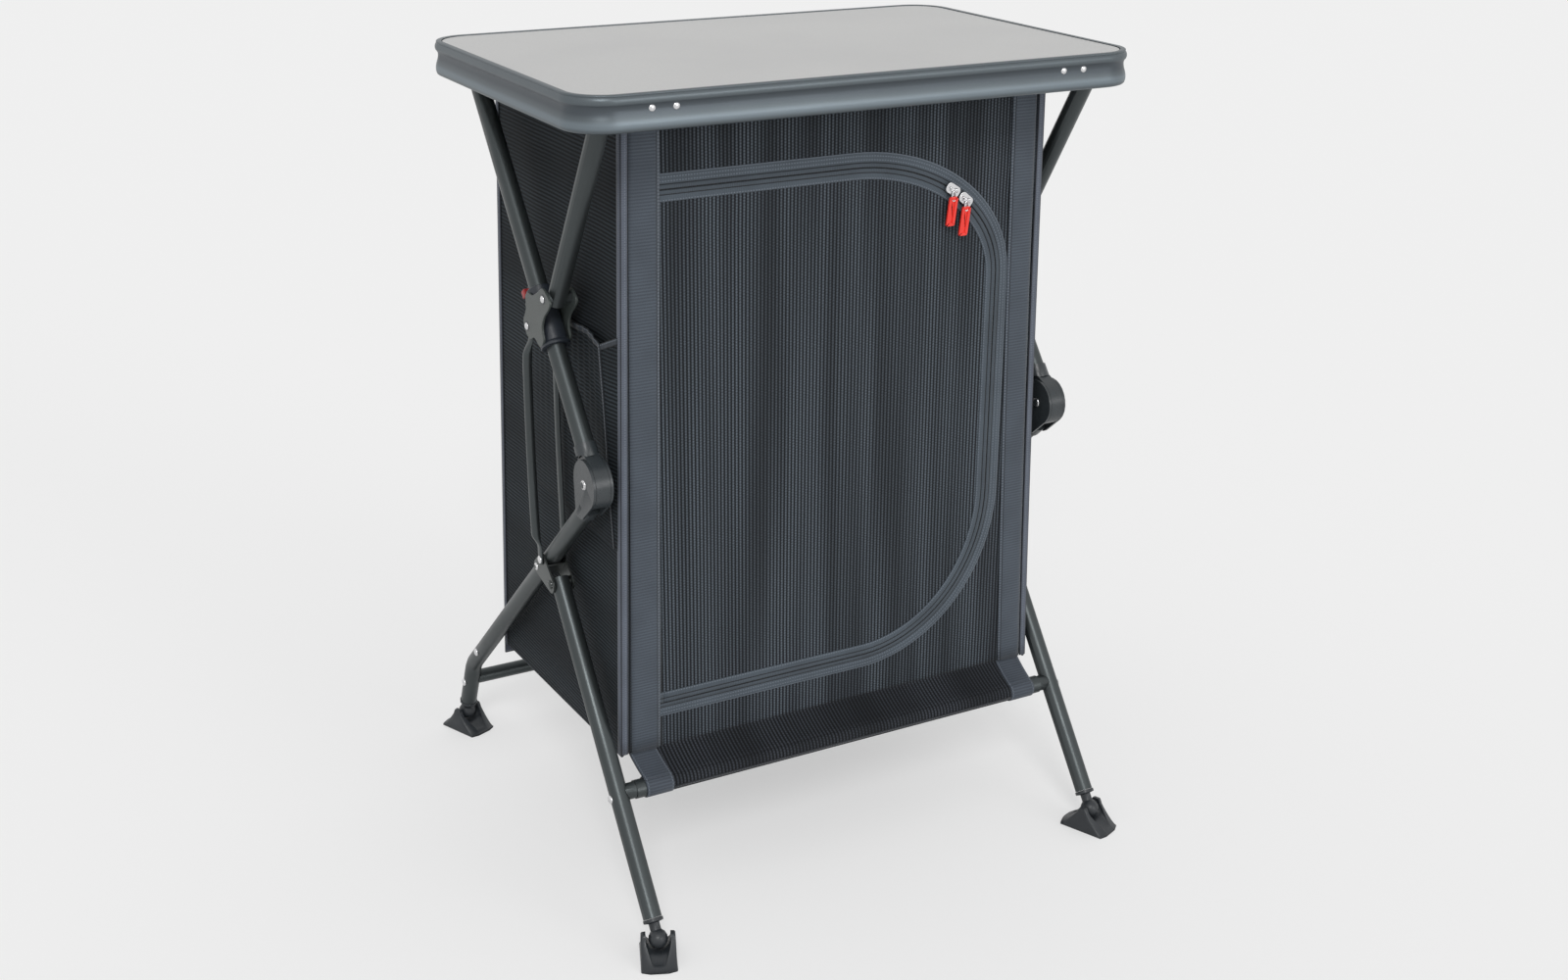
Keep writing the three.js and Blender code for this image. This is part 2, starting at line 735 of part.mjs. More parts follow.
function rearLeg(sign) {
  const turn = (rearFootLean - rearLegLean) * degrees;
  const tangent = rearLegBendRadius * Math.tan(turn * half);
  const stations = [[onRearLeg(rearLegStart), rearLegLean]];
  const bendStart = stepFrom(bendPoint, legDown, -tangent);
  const centre = stepFrom(bendStart, legDown, 0, -rearLegBendRadius);
  for (let step = 0; step <= bendSteps; step += 1) {
    const lean = rearLegLean + (rearFootLean - rearLegLean) * (step / bendSteps);
    stations.push([stepFrom(centre, slope(lean), 0, rearLegBendRadius), lean]);
  }
  stations.push([rearTubeEnd, rearFootLean]);
  const rings = stations.map(([point, lean]) => {
    const ring = [];
    for (let side = 0; side < tubeSides; side += 1) {
      const angle = (2 * Math.PI * side) / tubeSides;
      const spot = stepFrom(point, slope(lean), 0, tubeRadius * Math.sin(angle));
      ring.push(place(sign, tubeRadius * Math.cos(angle), spot));
    }
    return ring;
  });
  return loft(rings);
}

// Leg bracket: two plates and a web that carry the front leg under the rear one

function legBracket(sign) {
  const inner = tubeRadius + runningGap;
  const outer = inner + bracketPlate;
  const outline = outlineRound([
    [linkFoot, bracketRivetLobe],
    [bracketRivet, bracketRivetLobe],
    [frontLegPivot, bracketPivotLobe],
  ]);
  const webTop = -inner;
  const webBottom = webTop - bracketPlate;
  const web = new THREE.Shape([
    onRearLeg(linkAlongLeg - bracketRivetLobe, webBottom),
    onRearLeg(bracketRivetAlongLeg, webBottom),
    onRearLeg(bracketRivetAlongLeg, webTop),
    onRearLeg(linkAlongLeg - bracketRivetLobe, webTop),
  ]);
  return joined([
    sidePlate(sign, outline, inner, outer),
    sidePlate(sign, outline, -outer, -inner),
    sidePlate(sign, web, -inner - bracketPlate * half, inner + bracketPlate * half),
    crossRod(sign, frontLegPivot, -outer, outer, pinRadius),
    rivetHead(sign, frontLegPivot, outer, 1),
    rivetHead(sign, frontLegPivot, -outer, -1),
    rivetHead(sign, bracketRivet, outer, 1, bracketRivetLobe * half),
    rivetHead(sign, bracketRivet, -outer, -1, bracketRivetLobe * half),
  ]);
}

function frontLeg(sign) {
  const top = place(sign, 0, onFrontLeg(-frontLegOverrun));
  const tube = rod(top, place(sign, 0, frontTubeEnd), tubeRadius);
  const reach = tubeRadius + overrun;
  return tube.subtract(crossRod(sign, frontLegPivot, -reach, reach, pinRadius + runningGap));
}

// Link: a bowed flat oval bar with thinned ends, on the outer or inner face of a side frame

function link(sign, face) {
  const start = tubeRadius + bracketPlate + 2 * runningGap;
  const along = new THREE.Vector2().subVectors(linkFoot, linkTop);
  const length = along.length();
  const down = along.clone().normalize();
  const widthHalf = linkWidth * half;
  const bowAt = (distance) => linkBow * Math.sin((Math.PI * distance) / length);
  const rings = [];
  const bar = length - 2 * linkEndLength;
  for (let step = 0; step <= bendSteps; step += 1) {
    const distance = linkEndLength + (bar * step) / bendSteps;
    const ring = [];
    for (let side = 0; side < pinSides; side += 1) {
      const angle = (2 * Math.PI * (side + half)) / pinSides;
      const out = start + linkThickness * half * (1 + Math.cos(angle));
      const across = bowAt(distance) + widthHalf * Math.sin(angle);
      ring.push(place(sign, face * out, stepFrom(linkTop, down, distance, across)));
    }
    rings.push(ring);
  }
  const ends = [[linkTop, linkEndLength], [linkFoot, length - linkEndLength]].map(([eye, distance]) => {
    const joint = stepFrom(linkTop, down, distance, bowAt(distance));
    const [low, high] = [face * start, face * (start + linkEndThickness)].sort((a, b) => a - b);
    return sidePlate(sign, outlineRound([[eye, linkEndRadius], [joint, widthHalf]], lobeSides), low, high);
  });
  const bored = without(joined([loft(rings), ...ends]), [
    crossRod(sign, linkTop, -framePlane * half, framePlane * half, linkPinRadius + runningGap),
  ]);
  const outerFace = face * (start + linkEndThickness);
  return bored.add(rivetHead(sign, linkFoot, outerFace, face, linkEndRadius - linkRivetInset));
}

// Crossbars, coped to the legs at both ends

function frontCrossbar() {
  const point = frontCrossbarPoint;
  const end = framePlane - tubeRadius * half;
  const collarOuter = framePlane - tubeRadius - crossbarCollarInset;
  const at = (x) => new THREE.Vector3(x, point.x, point.y);
  const bar = joined([
    rod(at(-end), at(end), frontCrossbarRadius),
    rod(at(-collarOuter), at(crossbarCollarLength - collarOuter), crossbarCollarRadius),
    rod(at(collarOuter - crossbarCollarLength), at(collarOuter), crossbarCollarRadius),
  ]);
  const cut = tubeRadius + runningGap;
  const cope = (sign) => {
    const top = place(sign, 0, onFrontLeg(0));
    return rod(top, place(sign, 0, onFrontLeg(2 * frontCrossbarAlong)), cut, discSides);
  };
  return without(bar, [cope(-1), cope(1)]);
}

function rearCrossbar() {
  const point = rearCrossbarPoint;
  const end = framePlane - tubeRadius * half;
  const bar = rod(
    new THREE.Vector3(-end, point.x, point.y),
    new THREE.Vector3(end, point.x, point.y),
    rearCrossbarRadius,
  );
  const cut = tubeRadius + runningGap;
  const cope = (sign) => {
    const top = place(sign, 0, onRearFoot(-rearCrossbarBelowBend));
    return rod(top, place(sign, 0, onRearFoot(3 * rearCrossbarBelowBend)), cut, discSides);
  };
  return without(bar, [cope(-1), cope(1)]);
}

// The hem that wraps the front crossbar
function crossbarSleeve() {
  const at = (x) => new THREE.Vector3(x, frontCrossbarPoint.x, frontCrossbarPoint.y);
  const inner = frontCrossbarRadius + runningGap;
  const collarInner = framePlane - tubeRadius - crossbarCollarInset - crossbarCollarLength;
  const end = Math.min(skirtReach, collarInner - runningGap);
  const sleeve = rod(at(-end), at(end), inner + sleeveThickness);
  return sleeve.subtract(rod(at(-end - overrun), at(end + overrun), inner));
}

// Feet

function footPlug(sign, tubeEnd, down) {
  const lean = Math.asin(footNeckRadius / ballRadius);
  const profile = [
    new THREE.Vector2(0, 0),
    new THREE.Vector2(footFlangeRadius, 0),
    new THREE.Vector2(footFlangeRadius, footFlangeThickness),
    new THREE.Vector2(footNeckRadius, footFlangeThickness + padFillet),
  ];
  const arcSteps = ballSides * half;
  for (let step = 0; step <= arcSteps; step += 1) {
    const angle = lean + ((Math.PI - lean) * step) / arcSteps;
    const radius = step === arcSteps ? 0 : ballRadius * Math.sin(angle);
    profile.push(new THREE.Vector2(radius, footDrop - runningGap - ballRadius * Math.cos(angle)));
  }
  const geometry = weld(new THREE.LatheGeometry(profile, ballSides));
  const axis = new THREE.Vector3(0, down.x, down.y);
  geometry.applyQuaternion(new THREE.Quaternion().setFromUnitVectors(THREE.Object3D.DEFAULT_UP, axis));
  const seat = place(sign, 0, stepFrom(tubeEnd, down, runningGap));
  geometry.translate(seat.x, seat.y, seat.z);
  return solidOf(geometry);
}

// The pad is made lengthwise along Y round the ball's centre line, then turned and moved under its ball
function footPad(sign, end, centre) {
  const [halfLength, halfWidth] = [padLength * half, padWidth * half];
  const plan = new THREE.Shape();
  plan.moveTo(-halfWidth, -halfLength + padEndSag);
  plan.quadraticCurveTo(0, -halfLength - padEndSag, halfWidth, -halfLength + padEndSag);
  plan.lineTo(halfWidth, halfLength - padEndSag);
  plan.quadraticCurveTo(0, halfLength + padEndSag, -halfWidth, halfLength - padEndSag);
  const footprint = weld(new THREE.ExtrudeGeometry(plan, {
    depth: padHeight, curveSegments: bendSteps, bevelEnabled: false,
  }));
  const shoulder = halfLength * padShoulderShare;
  const waist = padHeight * padWaistShare;
  const side = new THREE.Shape();
  side.moveTo(-halfLength - overrun, 0);
  side.lineTo(halfLength + overrun, 0);
  side.lineTo(halfLength + overrun, padEdgeThickness);
  side.quadraticCurveTo(halfLength - padEndSag, waist, shoulder, padHeight);
  side.lineTo(-shoulder, padHeight);
  side.quadraticCurveTo(padEndSag - halfLength, waist, -halfLength - overrun, padEdgeThickness);
  const profile = weld(new THREE.ExtrudeGeometry(side, {
    depth: padWidth + 2 * overrun, curveSegments: bendSteps, bevelEnabled: false,
  }));
  profile.applyMatrix4(frameBasis());
  profile.translate(-halfWidth - overrun, 0, 0);
  const lugs = [-1, 1].map((lugSide) => {
    const middle = lugSide * (halfWidth - padLugThickness);
    const [low, high] = [middle - padLugThickness * half, middle + padLugThickness * half];
    return block(
      new THREE.Vector3(low, -padLugLength * half, 0),
      new THREE.Vector3(high, padLugLength * half, padLugHeight),
    );
  });
  const ballCentre = new THREE.Vector3(0, 0, ballHeight);
  const troughLow = new THREE.Vector3(0, -padLength, ballHeight + padTroughRise);
  const troughHigh = new THREE.Vector3(0, padLength, ballHeight + padTroughRise);
  const cup = ballRadius + padCupClearance;
  const pad = without(joined([solidOf(footprint).intersect(solidOf(profile)), ...lugs]), [
    ball(ballCentre, cup),
    rod(ballCentre, new THREE.Vector3(0, 0, padLugHeight + padTroughRise), cup, ballSides),
    rod(troughLow, troughHigh, padTroughRadius + padTroughRise * half, lobeSides),
  ]);
  const geometry = geometryOf(pad);
  geometry.rotateZ(-sign * end * padYaw * degrees);
  geometry.translate(sign * framePlane, centre.x, 0);
  return solidOf(geometry);
}

// Cloth: a thin sheet over a grid, its two faces given by a function of column, row and depth
function clothSheet(columns, rows, spot) {
  const positions = [];
  const triangles = [];
  const layer = columns.length * rows.length;
  const number = (column, row, depth) => depth * layer + row * columns.length + column;
  for (const depth of [0, 1]) {
    for (const row of rows) {
      for (const column of columns) positions.push(...spot(column, row, depth).toArray());
    }
  }
  const quad = (a, b, c, d) => triangles.push([a, b, c], [a, c, d]);
  for (let row = 0; row < rows.length - 1; row += 1) {
    for (let column = 0; column < columns.length - 1; column += 1) {
      const corners = [[column, row], [column + 1, row], [column + 1, row + 1], [column, row + 1]];
      quad(...corners.map(([x, y]) => number(x, y, 0)));
      quad(...corners.map(([x, y]) => number(x, y, 1)).reverse());
    }
  }
  const edge = (x, y, nextX, nextY) => {
    quad(number(x, y, 0), number(x, y, 1), number(nextX, nextY, 1), number(nextX, nextY, 0));
  };
  const [lastColumn, lastRow] = [columns.length - 1, rows.length - 1];
  for (let column = 0; column < lastColumn; column += 1) {
    edge(column, 0, column + 1, 0);
    edge(column + 1, lastRow, column, lastRow);
  }
  for (let row = 0; row < lastRow; row += 1) {
    edge(0, row + 1, 0, row);
    edge(lastColumn, row, lastColumn, row + 1);
  }
  return closedSkin(positions, triangles);
}

function evenSteps(from, to, count) {
  return Array.from({ length: count + 1 }, (unused, step) => from + ((to - from) * step) / count);
}

function halfWidthAt(height) {
  const share = (clothTop - height) / (clothTop - cabinetFloorFront);
  return cabinetTopReach + (cabinetBottomReach - cabinetTopReach) * share;
}

function backAt(height) {
  const share = (clothTop - height) / (clothTop - cabinetFloorBack);
  return cabinetBackTop + (cabinetBackBottom - cabinetBackTop) * share;
}

function floorAt(depth) {
  const share = (depth + cabinetFront) / (cabinetBackBottom + cabinetFront);
  return cabinetFloorFront + (cabinetFloorBack - cabinetFloorFront) * share;
}

// How far soft cloth sags in at a place: full at mid height, none at the top and bottom hems
function sag(position, height, width) {
  const share = (clothTop - height) / (clothTop - cabinetFloorFront);
  const fade = Math.sin(Math.PI * Math.min(1, Math.max(0, share)));
  return clothWave * fade * half * (1 - Math.cos((2 * Math.PI * position) / width));
}

// Front panel: the sheet between the webbing bands, with a skirt down to the crossbar's sleeve

function frontSpan(height) {
  return halfWidthAt(height) - webbingWidth;
}

function frontSag(x, height) {
  const span = frontSpan(clothTop);
  return sag((x / frontSpan(height) + 1) * span, height, (2 * span) / frontWaves);
}

function frontSheet() {
  const columns = evenSteps(-1, 1, frontWaves * waveSteps);
  const hem = cabinetFloorFront - frontCrossbarRadius;
  const rows = [...evenSteps(clothTop, cabinetFloorFront, clothRows), hem];
  const top = new THREE.Vector2(-cabinetFront, cabinetFloorFront);
  const drop = new THREE.Vector2().subVectors(frontCrossbarPoint, top);
  const clear = frontCrossbarRadius + sleeveThickness + 2 * runningGap;
  const bottom = stepFrom(top, drop.clone().normalize(), drop.length() - clear);
  return clothSheet(columns, rows, (column, row, depth) => {
    if (row === hem) {
      return new THREE.Vector3(column * skirtReach, bottom.x + depth * clothThickness, bottom.y);
    }
    const x = column * frontSpan(row);
    return new THREE.Vector3(x, frontSag(x, row) - cabinetFront + depth * clothThickness, row);
  });
}

function webbingBand(sign) {
  const rows = [clothTop, cabinetFloorFront];
  return clothSheet([0, 1], rows, (column, row, depth) => {
    const x = halfWidthAt(row) - column * (webbingWidth + webbingStep);
    const y = depth ? clothThickness * half : -webbingThickness;
    return new THREE.Vector3(sign * x, y - cabinetFront, row);
  });
}

// The door's outline, grown all round except at its hinge edge
function doorOutline(grow, left = doorLeft) {
  const [top, bottom, right] = [doorTop + grow, doorBottom - grow, doorRight + grow];
  const [upperX, upperY] = [doorUpperWidth + grow, doorUpperHeight + grow];
  const [lowerX, lowerY] = [doorLowerWidth + grow, doorLowerHeight + grow];
  const shape = new THREE.Shape();
  shape.moveTo(-left, bottom);
  shape.lineTo(right - lowerX, bottom);
  shape.absellipse(right - lowerX, bottom + lowerY, lowerX, lowerY, -Math.PI * half, 0, false, 0);
  shape.absellipse(right - upperX, top - upperY, upperX, upperY, 0, Math.PI * half, false, 0);
  shape.lineTo(-left, top);
  return shape;
}

function doorBlock(grow, left) {
  const depth = 2 * (clothThickness + clothWave + overrun);
  const geometry = weld(new THREE.ExtrudeGeometry(doorOutline(grow, left), {
    depth, curveSegments: zipSteps, bevelEnabled: false,
  }));
  geometry.rotateX(Math.PI * half);
  geometry.translate(0, depth * half - cabinetFront, 0);
  return solidOf(geometry);
}

function frontPanel() {
  const hole = doorBlock(zipWidth * half + runningGap, doorLeft + runningGap);
  const sheet = frontSheet().subtract(hole);
  return joined([sheet, webbingBand(-1), webbingBand(1)]);
}

function doorPanel() {
  return frontSheet().intersect(doorBlock(-zipWidth * half - runningGap, doorLeft));
}

// The zip lies in the slot between the door and the panel, with a ridge along its teeth
function doorZip() {
  const curve = doorOutline(0).getPoints(zipSteps);
  const points = curve.filter((point, index) => index === 0 || point.distanceTo(curve[index - 1]) > runningGap);
  const rings = points.map((point, index) => {
    const before = points[Math.max(0, index - 1)];
    const after = points[Math.min(points.length - 1, index + 1)];
    const normal = new THREE.Vector2(before.y - after.y, after.x - before.x).normalize();
    const sagging = frontSag(point.x, point.y);
    const [front, back] = [sagging - cabinetFront, sagging - cabinetFront + clothThickness];
    const section = [
      [-zipWidth * half, front], [-zipRidge, front - zipRidge], [zipRidge, front - zipRidge],
      [zipWidth * half, front], [zipWidth * half, back], [-zipWidth * half, back],
    ];
    return section.map(([side, y]) => new THREE.Vector3(point.x + side * normal.x, y, point.y + side * normal.y));
  });
  return loft(rings);
}

function sidePanel(sign) {
  const front = -cabinetFront + clothThickness * half + runningGap;
  const length = cabinetBackBottom + cabinetFront;
  const columns = evenSteps(0, 1, Math.round((length * waveSteps) / sideWaveWidth));
  const rows = evenSteps(0, 1, clothRows);
  return clothSheet(columns, rows, (column, row, depth) => {
    const height = clothTop + (floorAt(front + column * length) - clothTop) * row;
    const back = backAt(height) - runningGap;
    const y = front + (back - front) * column;
    const out = halfWidthAt(height) - sag(column * length, height, sideWaveWidth) - depth * clothThickness;
    return new THREE.Vector3(sign * out, y, height);
  });
}

function backPanel() {
  const columns = evenSteps(-1, 1, backWaves * waveSteps);
  const rows = evenSteps(clothTop, cabinetFloorBack - backHemDrop, clothRows);
  const waveWidth = (2 * cabinetTopReach) / backWaves;
  return clothSheet(columns, rows, (column, row, depth) => {
    const sagging = sag((column + 1) * cabinetTopReach, row, waveWidth);
    const y = backAt(row) + sagging + depth * clothThickness;
    return new THREE.Vector3(column * halfWidthAt(row), y, row);
  });
}

// A stiff board across the cabinet at a height, with a gap to the cloth at its sides
function cabinetBoard(height, sideGap) {
  const width = halfWidthAt(height) - clothThickness - clothWave - sideGap;
  const front = -cabinetFront + clothThickness + clothWave + runningGap;
  const back = backAt(height + panelThickness) - runningGap;
  return block(new THREE.Vector3(-width, front, height), new THREE.Vector3(width, back, height + panelThickness));
}

// Side pocket: a pouch that stands off its panel at the gathered top and lies against it below
function sidePocket() {
  const front = -cabinetFront + clothThickness + clothWave + pocketFrontInset;
  const columns = evenSteps(0, 1, Math.round((pocketLength * waveSteps) / (2 * pocketGatherWidth)));
  const rows = evenSteps(0, 1, pocketRows);
  return clothSheet(columns, rows, (column, row, depth) => {
    const height = pocketTop + (pocketBottom - pocketTop) * row;
    const bulge = pocketBulge * (1 - row) * Math.sqrt(Math.sin(Math.PI * column));
    const gather = pocketGatherDepth * (1 - row) * Math.sin(Math.PI * column);
    const fold = gather * Math.sin((2 * Math.PI * column * pocketLength) / (2 * pocketGatherWidth));
    const out = halfWidthAt(height) + runningGap + bulge + fold + gather + (1 - depth) * sleeveThickness;
    return new THREE.Vector3(-out, front + column * pocketLength, height);
  });
}

// Zip sliders on the upper right curve of the zip, and the tabs that hang from them

function sliderPlace(order) {
  const meanRadius = (doorUpperWidth + doorUpperHeight) * half;
  const turn = sliderLean * degrees + (order * sliderSpacing) / meanRadius;
  const x = doorRight - doorUpperWidth * (1 - Math.cos(turn));
  const z = doorTop - doorUpperHeight * (1 - Math.sin(turn));
  const angle = Math.atan2(doorUpperWidth * Math.sin(turn), doorUpperHeight * Math.cos(turn));
  return { angle, x, z };
}

function zipSlider(order) {
  const { angle, x, z } = sliderPlace(order);
  const plan = outlineRound([
    [new THREE.Vector2(0, sliderLength * half - sliderWidth * half), sliderWidth * half],
    [new THREE.Vector2(0, sliderWidth * half - sliderLength * half), sliderWidth * half],
  ], pinSides);
  const geometry = weld(new THREE.ExtrudeGeometry(plan, { depth: sliderThickness, bevelEnabled: false }));
  geometry.rotateZ(angle);
  geometry.rotateX(Math.PI * half);
  const face = -cabinetFront - zipRidge - runningGap;
  geometry.translate(x, face, z);
  const hanger = new THREE.Vector3(x, face - sliderThickness - tabBailRadius, z);
  const left = hanger.clone().setX(x - sliderWidth * half);
  const right = hanger.clone().setX(x + sliderWidth * half);
  const bail = rod(left, right, tabBailRadius, pinSides);
  const stem = block(
    new THREE.Vector3(x - tabBailRadius, face - sliderThickness - tabBailRadius, z - tabBailRadius * half),
    new THREE.Vector3(x + tabBailRadius, face - sliderThickness + runningGap, z + tabBailRadius * half),
  );
  return joined([solidOf(geometry), bail, stem]);
}

function tabPivot(order) {
  const { x, z } = sliderPlace(order);
  const y = -cabinetFront - zipRidge - runningGap - sliderThickness - tabBailRadius;
  return new THREE.Vector3(x, y, z);
}

function pullTab(order) {
  const pivot = tabPivot(order);
  const top = -tabBailRadius - runningGap;
  const [across, bottom] = [tabWidth * half, top - tabLength];
  const plate = outlineRound([
    [new THREE.Vector2(0, top - across), across],
    [new THREE.Vector2(0, bottom + across), across],
  ], lobeSides);
  const slot = outlineRound([
    [new THREE.Vector2(0, top - across - tabSlotInset), tabSlotWidth * half],
    [new THREE.Vector2(0, bottom + across), tabSlotWidth * half],
  ], pinSides);
  plate.holes.push(new THREE.Path(slot.getPoints()));
  const geometry = weld(new THREE.ExtrudeGeometry(plate, { depth: tabThickness, bevelEnabled: false }));
  geometry.rotateX(Math.PI * half);
  geometry.translate(pivot.x, pivot.y + tabThickness * half, pivot.z);
  return solidOf(geometry);
}

// Materials

function finish(color, roughness, metalness = 0) {
  return () => new THREE.MeshStandardMaterial({ color, roughness, metalness });
}

const boardFinish = finish(0xc4c4c2, 0.55);
const rimFinish = finish(0x505856, 0.45, 0.5);
const tubeFinish = finish(0x464c48, 0.35, 0.7);
const plateFinish = finish(0x6a6e6a, 0.4, 0.8);
const mouldingFinish = finish(0x42474a, 0.5);
const footFinish = finish(0x282c2e, 0.6);
const redFinish = finish(0xeb3c2d, 0.45);
const clothFinish = finish(0x2c3034, 0.95);
const zipFinish = finish(0x3c4248, 0.7);
const sliderFinish = finish(0xb8bcc0, 0.3, 0.9);
const panelFinish = finish(0x24272a, 0.8);

// Assembly

const cupboard = new THREE.Group();

function addPiece(name, solid, material) {
  const mesh = new THREE.Mesh(geometryOf(solid), material());
  mesh.name = name;
  cupboard.add(mesh);
}

addPiece('tabletop_board', tabletopBoard(), boardFinish);
addPiece('tabletop_rim', tabletopRim(), rimFinish);

for (const [side, sign] of [['left', -1], ['right', 1]]) {
  addPiece(`front_bracket_${side}`, frontBracket(sign), plateFinish);
  addPiece(`rear_bracket_${side}`, rearBracket(sign), plateFinish);
  addPiece(`front_brace_${side}`, frontBrace(sign), tubeFinish);
  addPiece(`hub_${side}`, hub(sign), mouldingFinish);
  addPiece(`lock_button_${side}`, lockButton(sign), redFinish);
  addPiece(`rear_strut_${side}`, rearStrut(sign), tubeFinish);
  addPiece(`upper_knuckle_${side}`, upperKnuckle(sign), mouldingFinish);
  addPiece(`lower_knuckle_${side}`, lowerKnuckle(sign), mouldingFinish);
  addPiece(`rear_leg_${side}`, rearLeg(sign), tubeFinish);
  addPiece(`leg_bracket_${side}`, legBracket(sign), plateFinish);
  addPiece(`front_leg_${side}`, frontLeg(sign), tubeFinish);
  addPiece(`outer_link_${side}`, link(sign, 1), tubeFinish);
  addPiece(`inner_link_${side}`, link(sign, -1), tubeFinish);
  addPiece(`front_foot_plug_${side}`, footPlug(sign, frontTubeEnd, frontDown), footFinish);
  addPiece(`rear_foot_plug_${side}`, footPlug(sign, rearTubeEnd, footDown), footFinish);
  addPiece(`front_foot_pad_${side}`, footPad(sign, -1, frontBall), footFinish);
  addPiece(`rear_foot_pad_${side}`, footPad(sign, 1, rearBall), footFinish);
  addPiece(`side_panel_${side}`, sidePanel(sign), clothFinish);
}

addPiece('front_crossbar', frontCrossbar(), tubeFinish);
addPiece('rear_crossbar', rearCrossbar(), tubeFinish);
addPiece('crossbar_sleeve', crossbarSleeve(), clothFinish);
addPiece('front_panel', frontPanel(), clothFinish);
addPiece('door_panel', doorPanel(), clothFinish);
addPiece('door_zip', doorZip(), zipFinish);
addPiece('back_panel', backPanel(), clothFinish);
addPiece('floor_panel', cabinetBoard(cabinetFloorFront, floorSideGap), panelFinish);
addPiece('shelf_panel', cabinetBoard(shelfHeight, runningGap), panelFinish);
addPiece('side_pocket_left', sidePocket(), clothFinish);

for (const [order, name] of ['upper', 'lower'].entries()) {
  addPiece(`zip_slider_${name}`, zipSlider(1 - order), sliderFinish);
  addPiece(`pull_tab_${name}`, pullTab(1 - order), redFinish);
}

// The origin is on the floor, midway between the front and the rear feet
cupboard.position.y = -(frontBall.x + rearBall.x) * half;

export default cupboard;
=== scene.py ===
"""Looks of a folding camping cupboard: a table on folding frames, with a hanging cloth cabinet."""

import json
import logging
import math
from collections.abc import Callable, Sequence
from dataclasses import dataclass, field
from enum import Enum
from typing import Any

import bmesh
import bpy
from mathutils import Matrix, Vector

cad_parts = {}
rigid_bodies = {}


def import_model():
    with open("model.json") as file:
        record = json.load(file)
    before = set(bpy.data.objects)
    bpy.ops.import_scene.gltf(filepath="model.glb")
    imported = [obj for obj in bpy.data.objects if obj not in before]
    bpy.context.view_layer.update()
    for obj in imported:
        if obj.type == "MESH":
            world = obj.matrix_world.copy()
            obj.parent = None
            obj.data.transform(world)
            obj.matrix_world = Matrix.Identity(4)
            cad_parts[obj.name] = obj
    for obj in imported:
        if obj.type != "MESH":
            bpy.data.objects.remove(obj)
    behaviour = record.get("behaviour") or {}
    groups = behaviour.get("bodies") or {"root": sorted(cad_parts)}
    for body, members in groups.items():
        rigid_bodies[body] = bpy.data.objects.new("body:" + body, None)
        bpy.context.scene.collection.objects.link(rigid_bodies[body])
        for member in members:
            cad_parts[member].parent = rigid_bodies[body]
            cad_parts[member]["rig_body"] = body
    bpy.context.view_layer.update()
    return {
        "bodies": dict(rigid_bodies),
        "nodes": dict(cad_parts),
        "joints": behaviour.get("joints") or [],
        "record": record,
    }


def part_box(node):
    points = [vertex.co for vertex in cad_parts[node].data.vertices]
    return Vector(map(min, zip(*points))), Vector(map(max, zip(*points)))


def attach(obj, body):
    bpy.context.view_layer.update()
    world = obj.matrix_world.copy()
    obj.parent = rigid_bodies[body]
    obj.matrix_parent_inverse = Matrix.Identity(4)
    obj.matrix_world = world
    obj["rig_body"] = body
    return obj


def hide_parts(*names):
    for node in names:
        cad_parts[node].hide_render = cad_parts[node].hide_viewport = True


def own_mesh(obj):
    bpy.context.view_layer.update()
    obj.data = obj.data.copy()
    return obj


LOG = logging.getLogger("cupboard")

Colour = tuple[float, float, float, float]
Pair = tuple[float, float]
Mark = tuple[Vector, Pair]
Surface = Callable[[float, float], Mark]
Piece = bpy.types.Object
Socket = Any

MM = 0.001
SHIFT_BACK = 28.9435
FRAME_PLANE = 306.0
MERGE = 0.00001
SIDES = (("left", -1), ("right", 1))
FACES = (("outer", 1), ("inner", -1))
AHEAD, BEHIND, LEFTWARD = Vector((0, -1, 0)), Vector((0, 1, 0)), Vector((-1, 0, 0))


def srgb(red: float, green: float, blue: float) -> Colour:
    """Gives the linear colour of an 8-bit display colour.

    Args:
        red: Red, from 0 to 255.
        green: Green, from 0 to 255.
        blue: Blue, from 0 to 255.

    Returns:
        The linear colour with full alpha.
    """

    def linear(value: float) -> float:
        share = value / 255
        return share / 12.92 if share <= 0.04045 else ((share + 0.055) / 1.055) ** 2.4

    return (linear(red), linear(green), linear(blue), 1.0)


def tinted(colour: Colour, *gains: float, lift: float = 0.0) -> Colour:
    """Gives a paler or deeper colour.

    Args:
        colour: The colour.
        *gains: What its red, green and blue are multiplied by, or one number for all.
        lift: What is added to each.

    Returns:
        The new colour.
    """
    red, green, blue = gains if len(gains) == 3 else gains * 3
    return (colour[0] * red + lift, colour[1] * green + lift, colour[2] * blue + lift, 1.0)


def spot(x: float, y: float, z: float) -> Vector:
    """Gives a point of the part, in metres.

    Args:
        x: Millimetres to the right.
        y: Millimetres to the back of the table's middle.
        z: Millimetres above the floor.

    Returns:
        The point in the part's frame.
    """
    return Vector((x * MM, (y - SHIFT_BACK) * MM, z * MM))


def steps(start: float, end: float, count: int) -> list[float]:
    """Gives evenly spaced numbers, both ends included.

    Args:
        start: The first number.
        end: The last number.
        count: How many steps lie between them.

    Returns:
        count + 1 numbers.
    """
    return [start + (end - start) * index / count for index in range(count + 1)]


def lips(width: float, lip: float) -> list[float]:
    """Gives the places across a tape whose edges are pressed down.

    Args:
        width: The tape's width.
        lip: The pressed edge's width.

    Returns:
        Both edges, where each rises, and the middle.
    """
    return [0.0, lip, width / 2, width - lip, width]


def lifted(run: float, width: float, high: float, low: float) -> float:
    """Gives how far a tape stands off at a place across it.

    Args:
        run: The place.
        width: The tape's width.
        high: How far it stands off between its edges.
        low: How far it stands off at its edges.

    Returns:
        One of the two.
    """
    return high if 0 < run < width else low


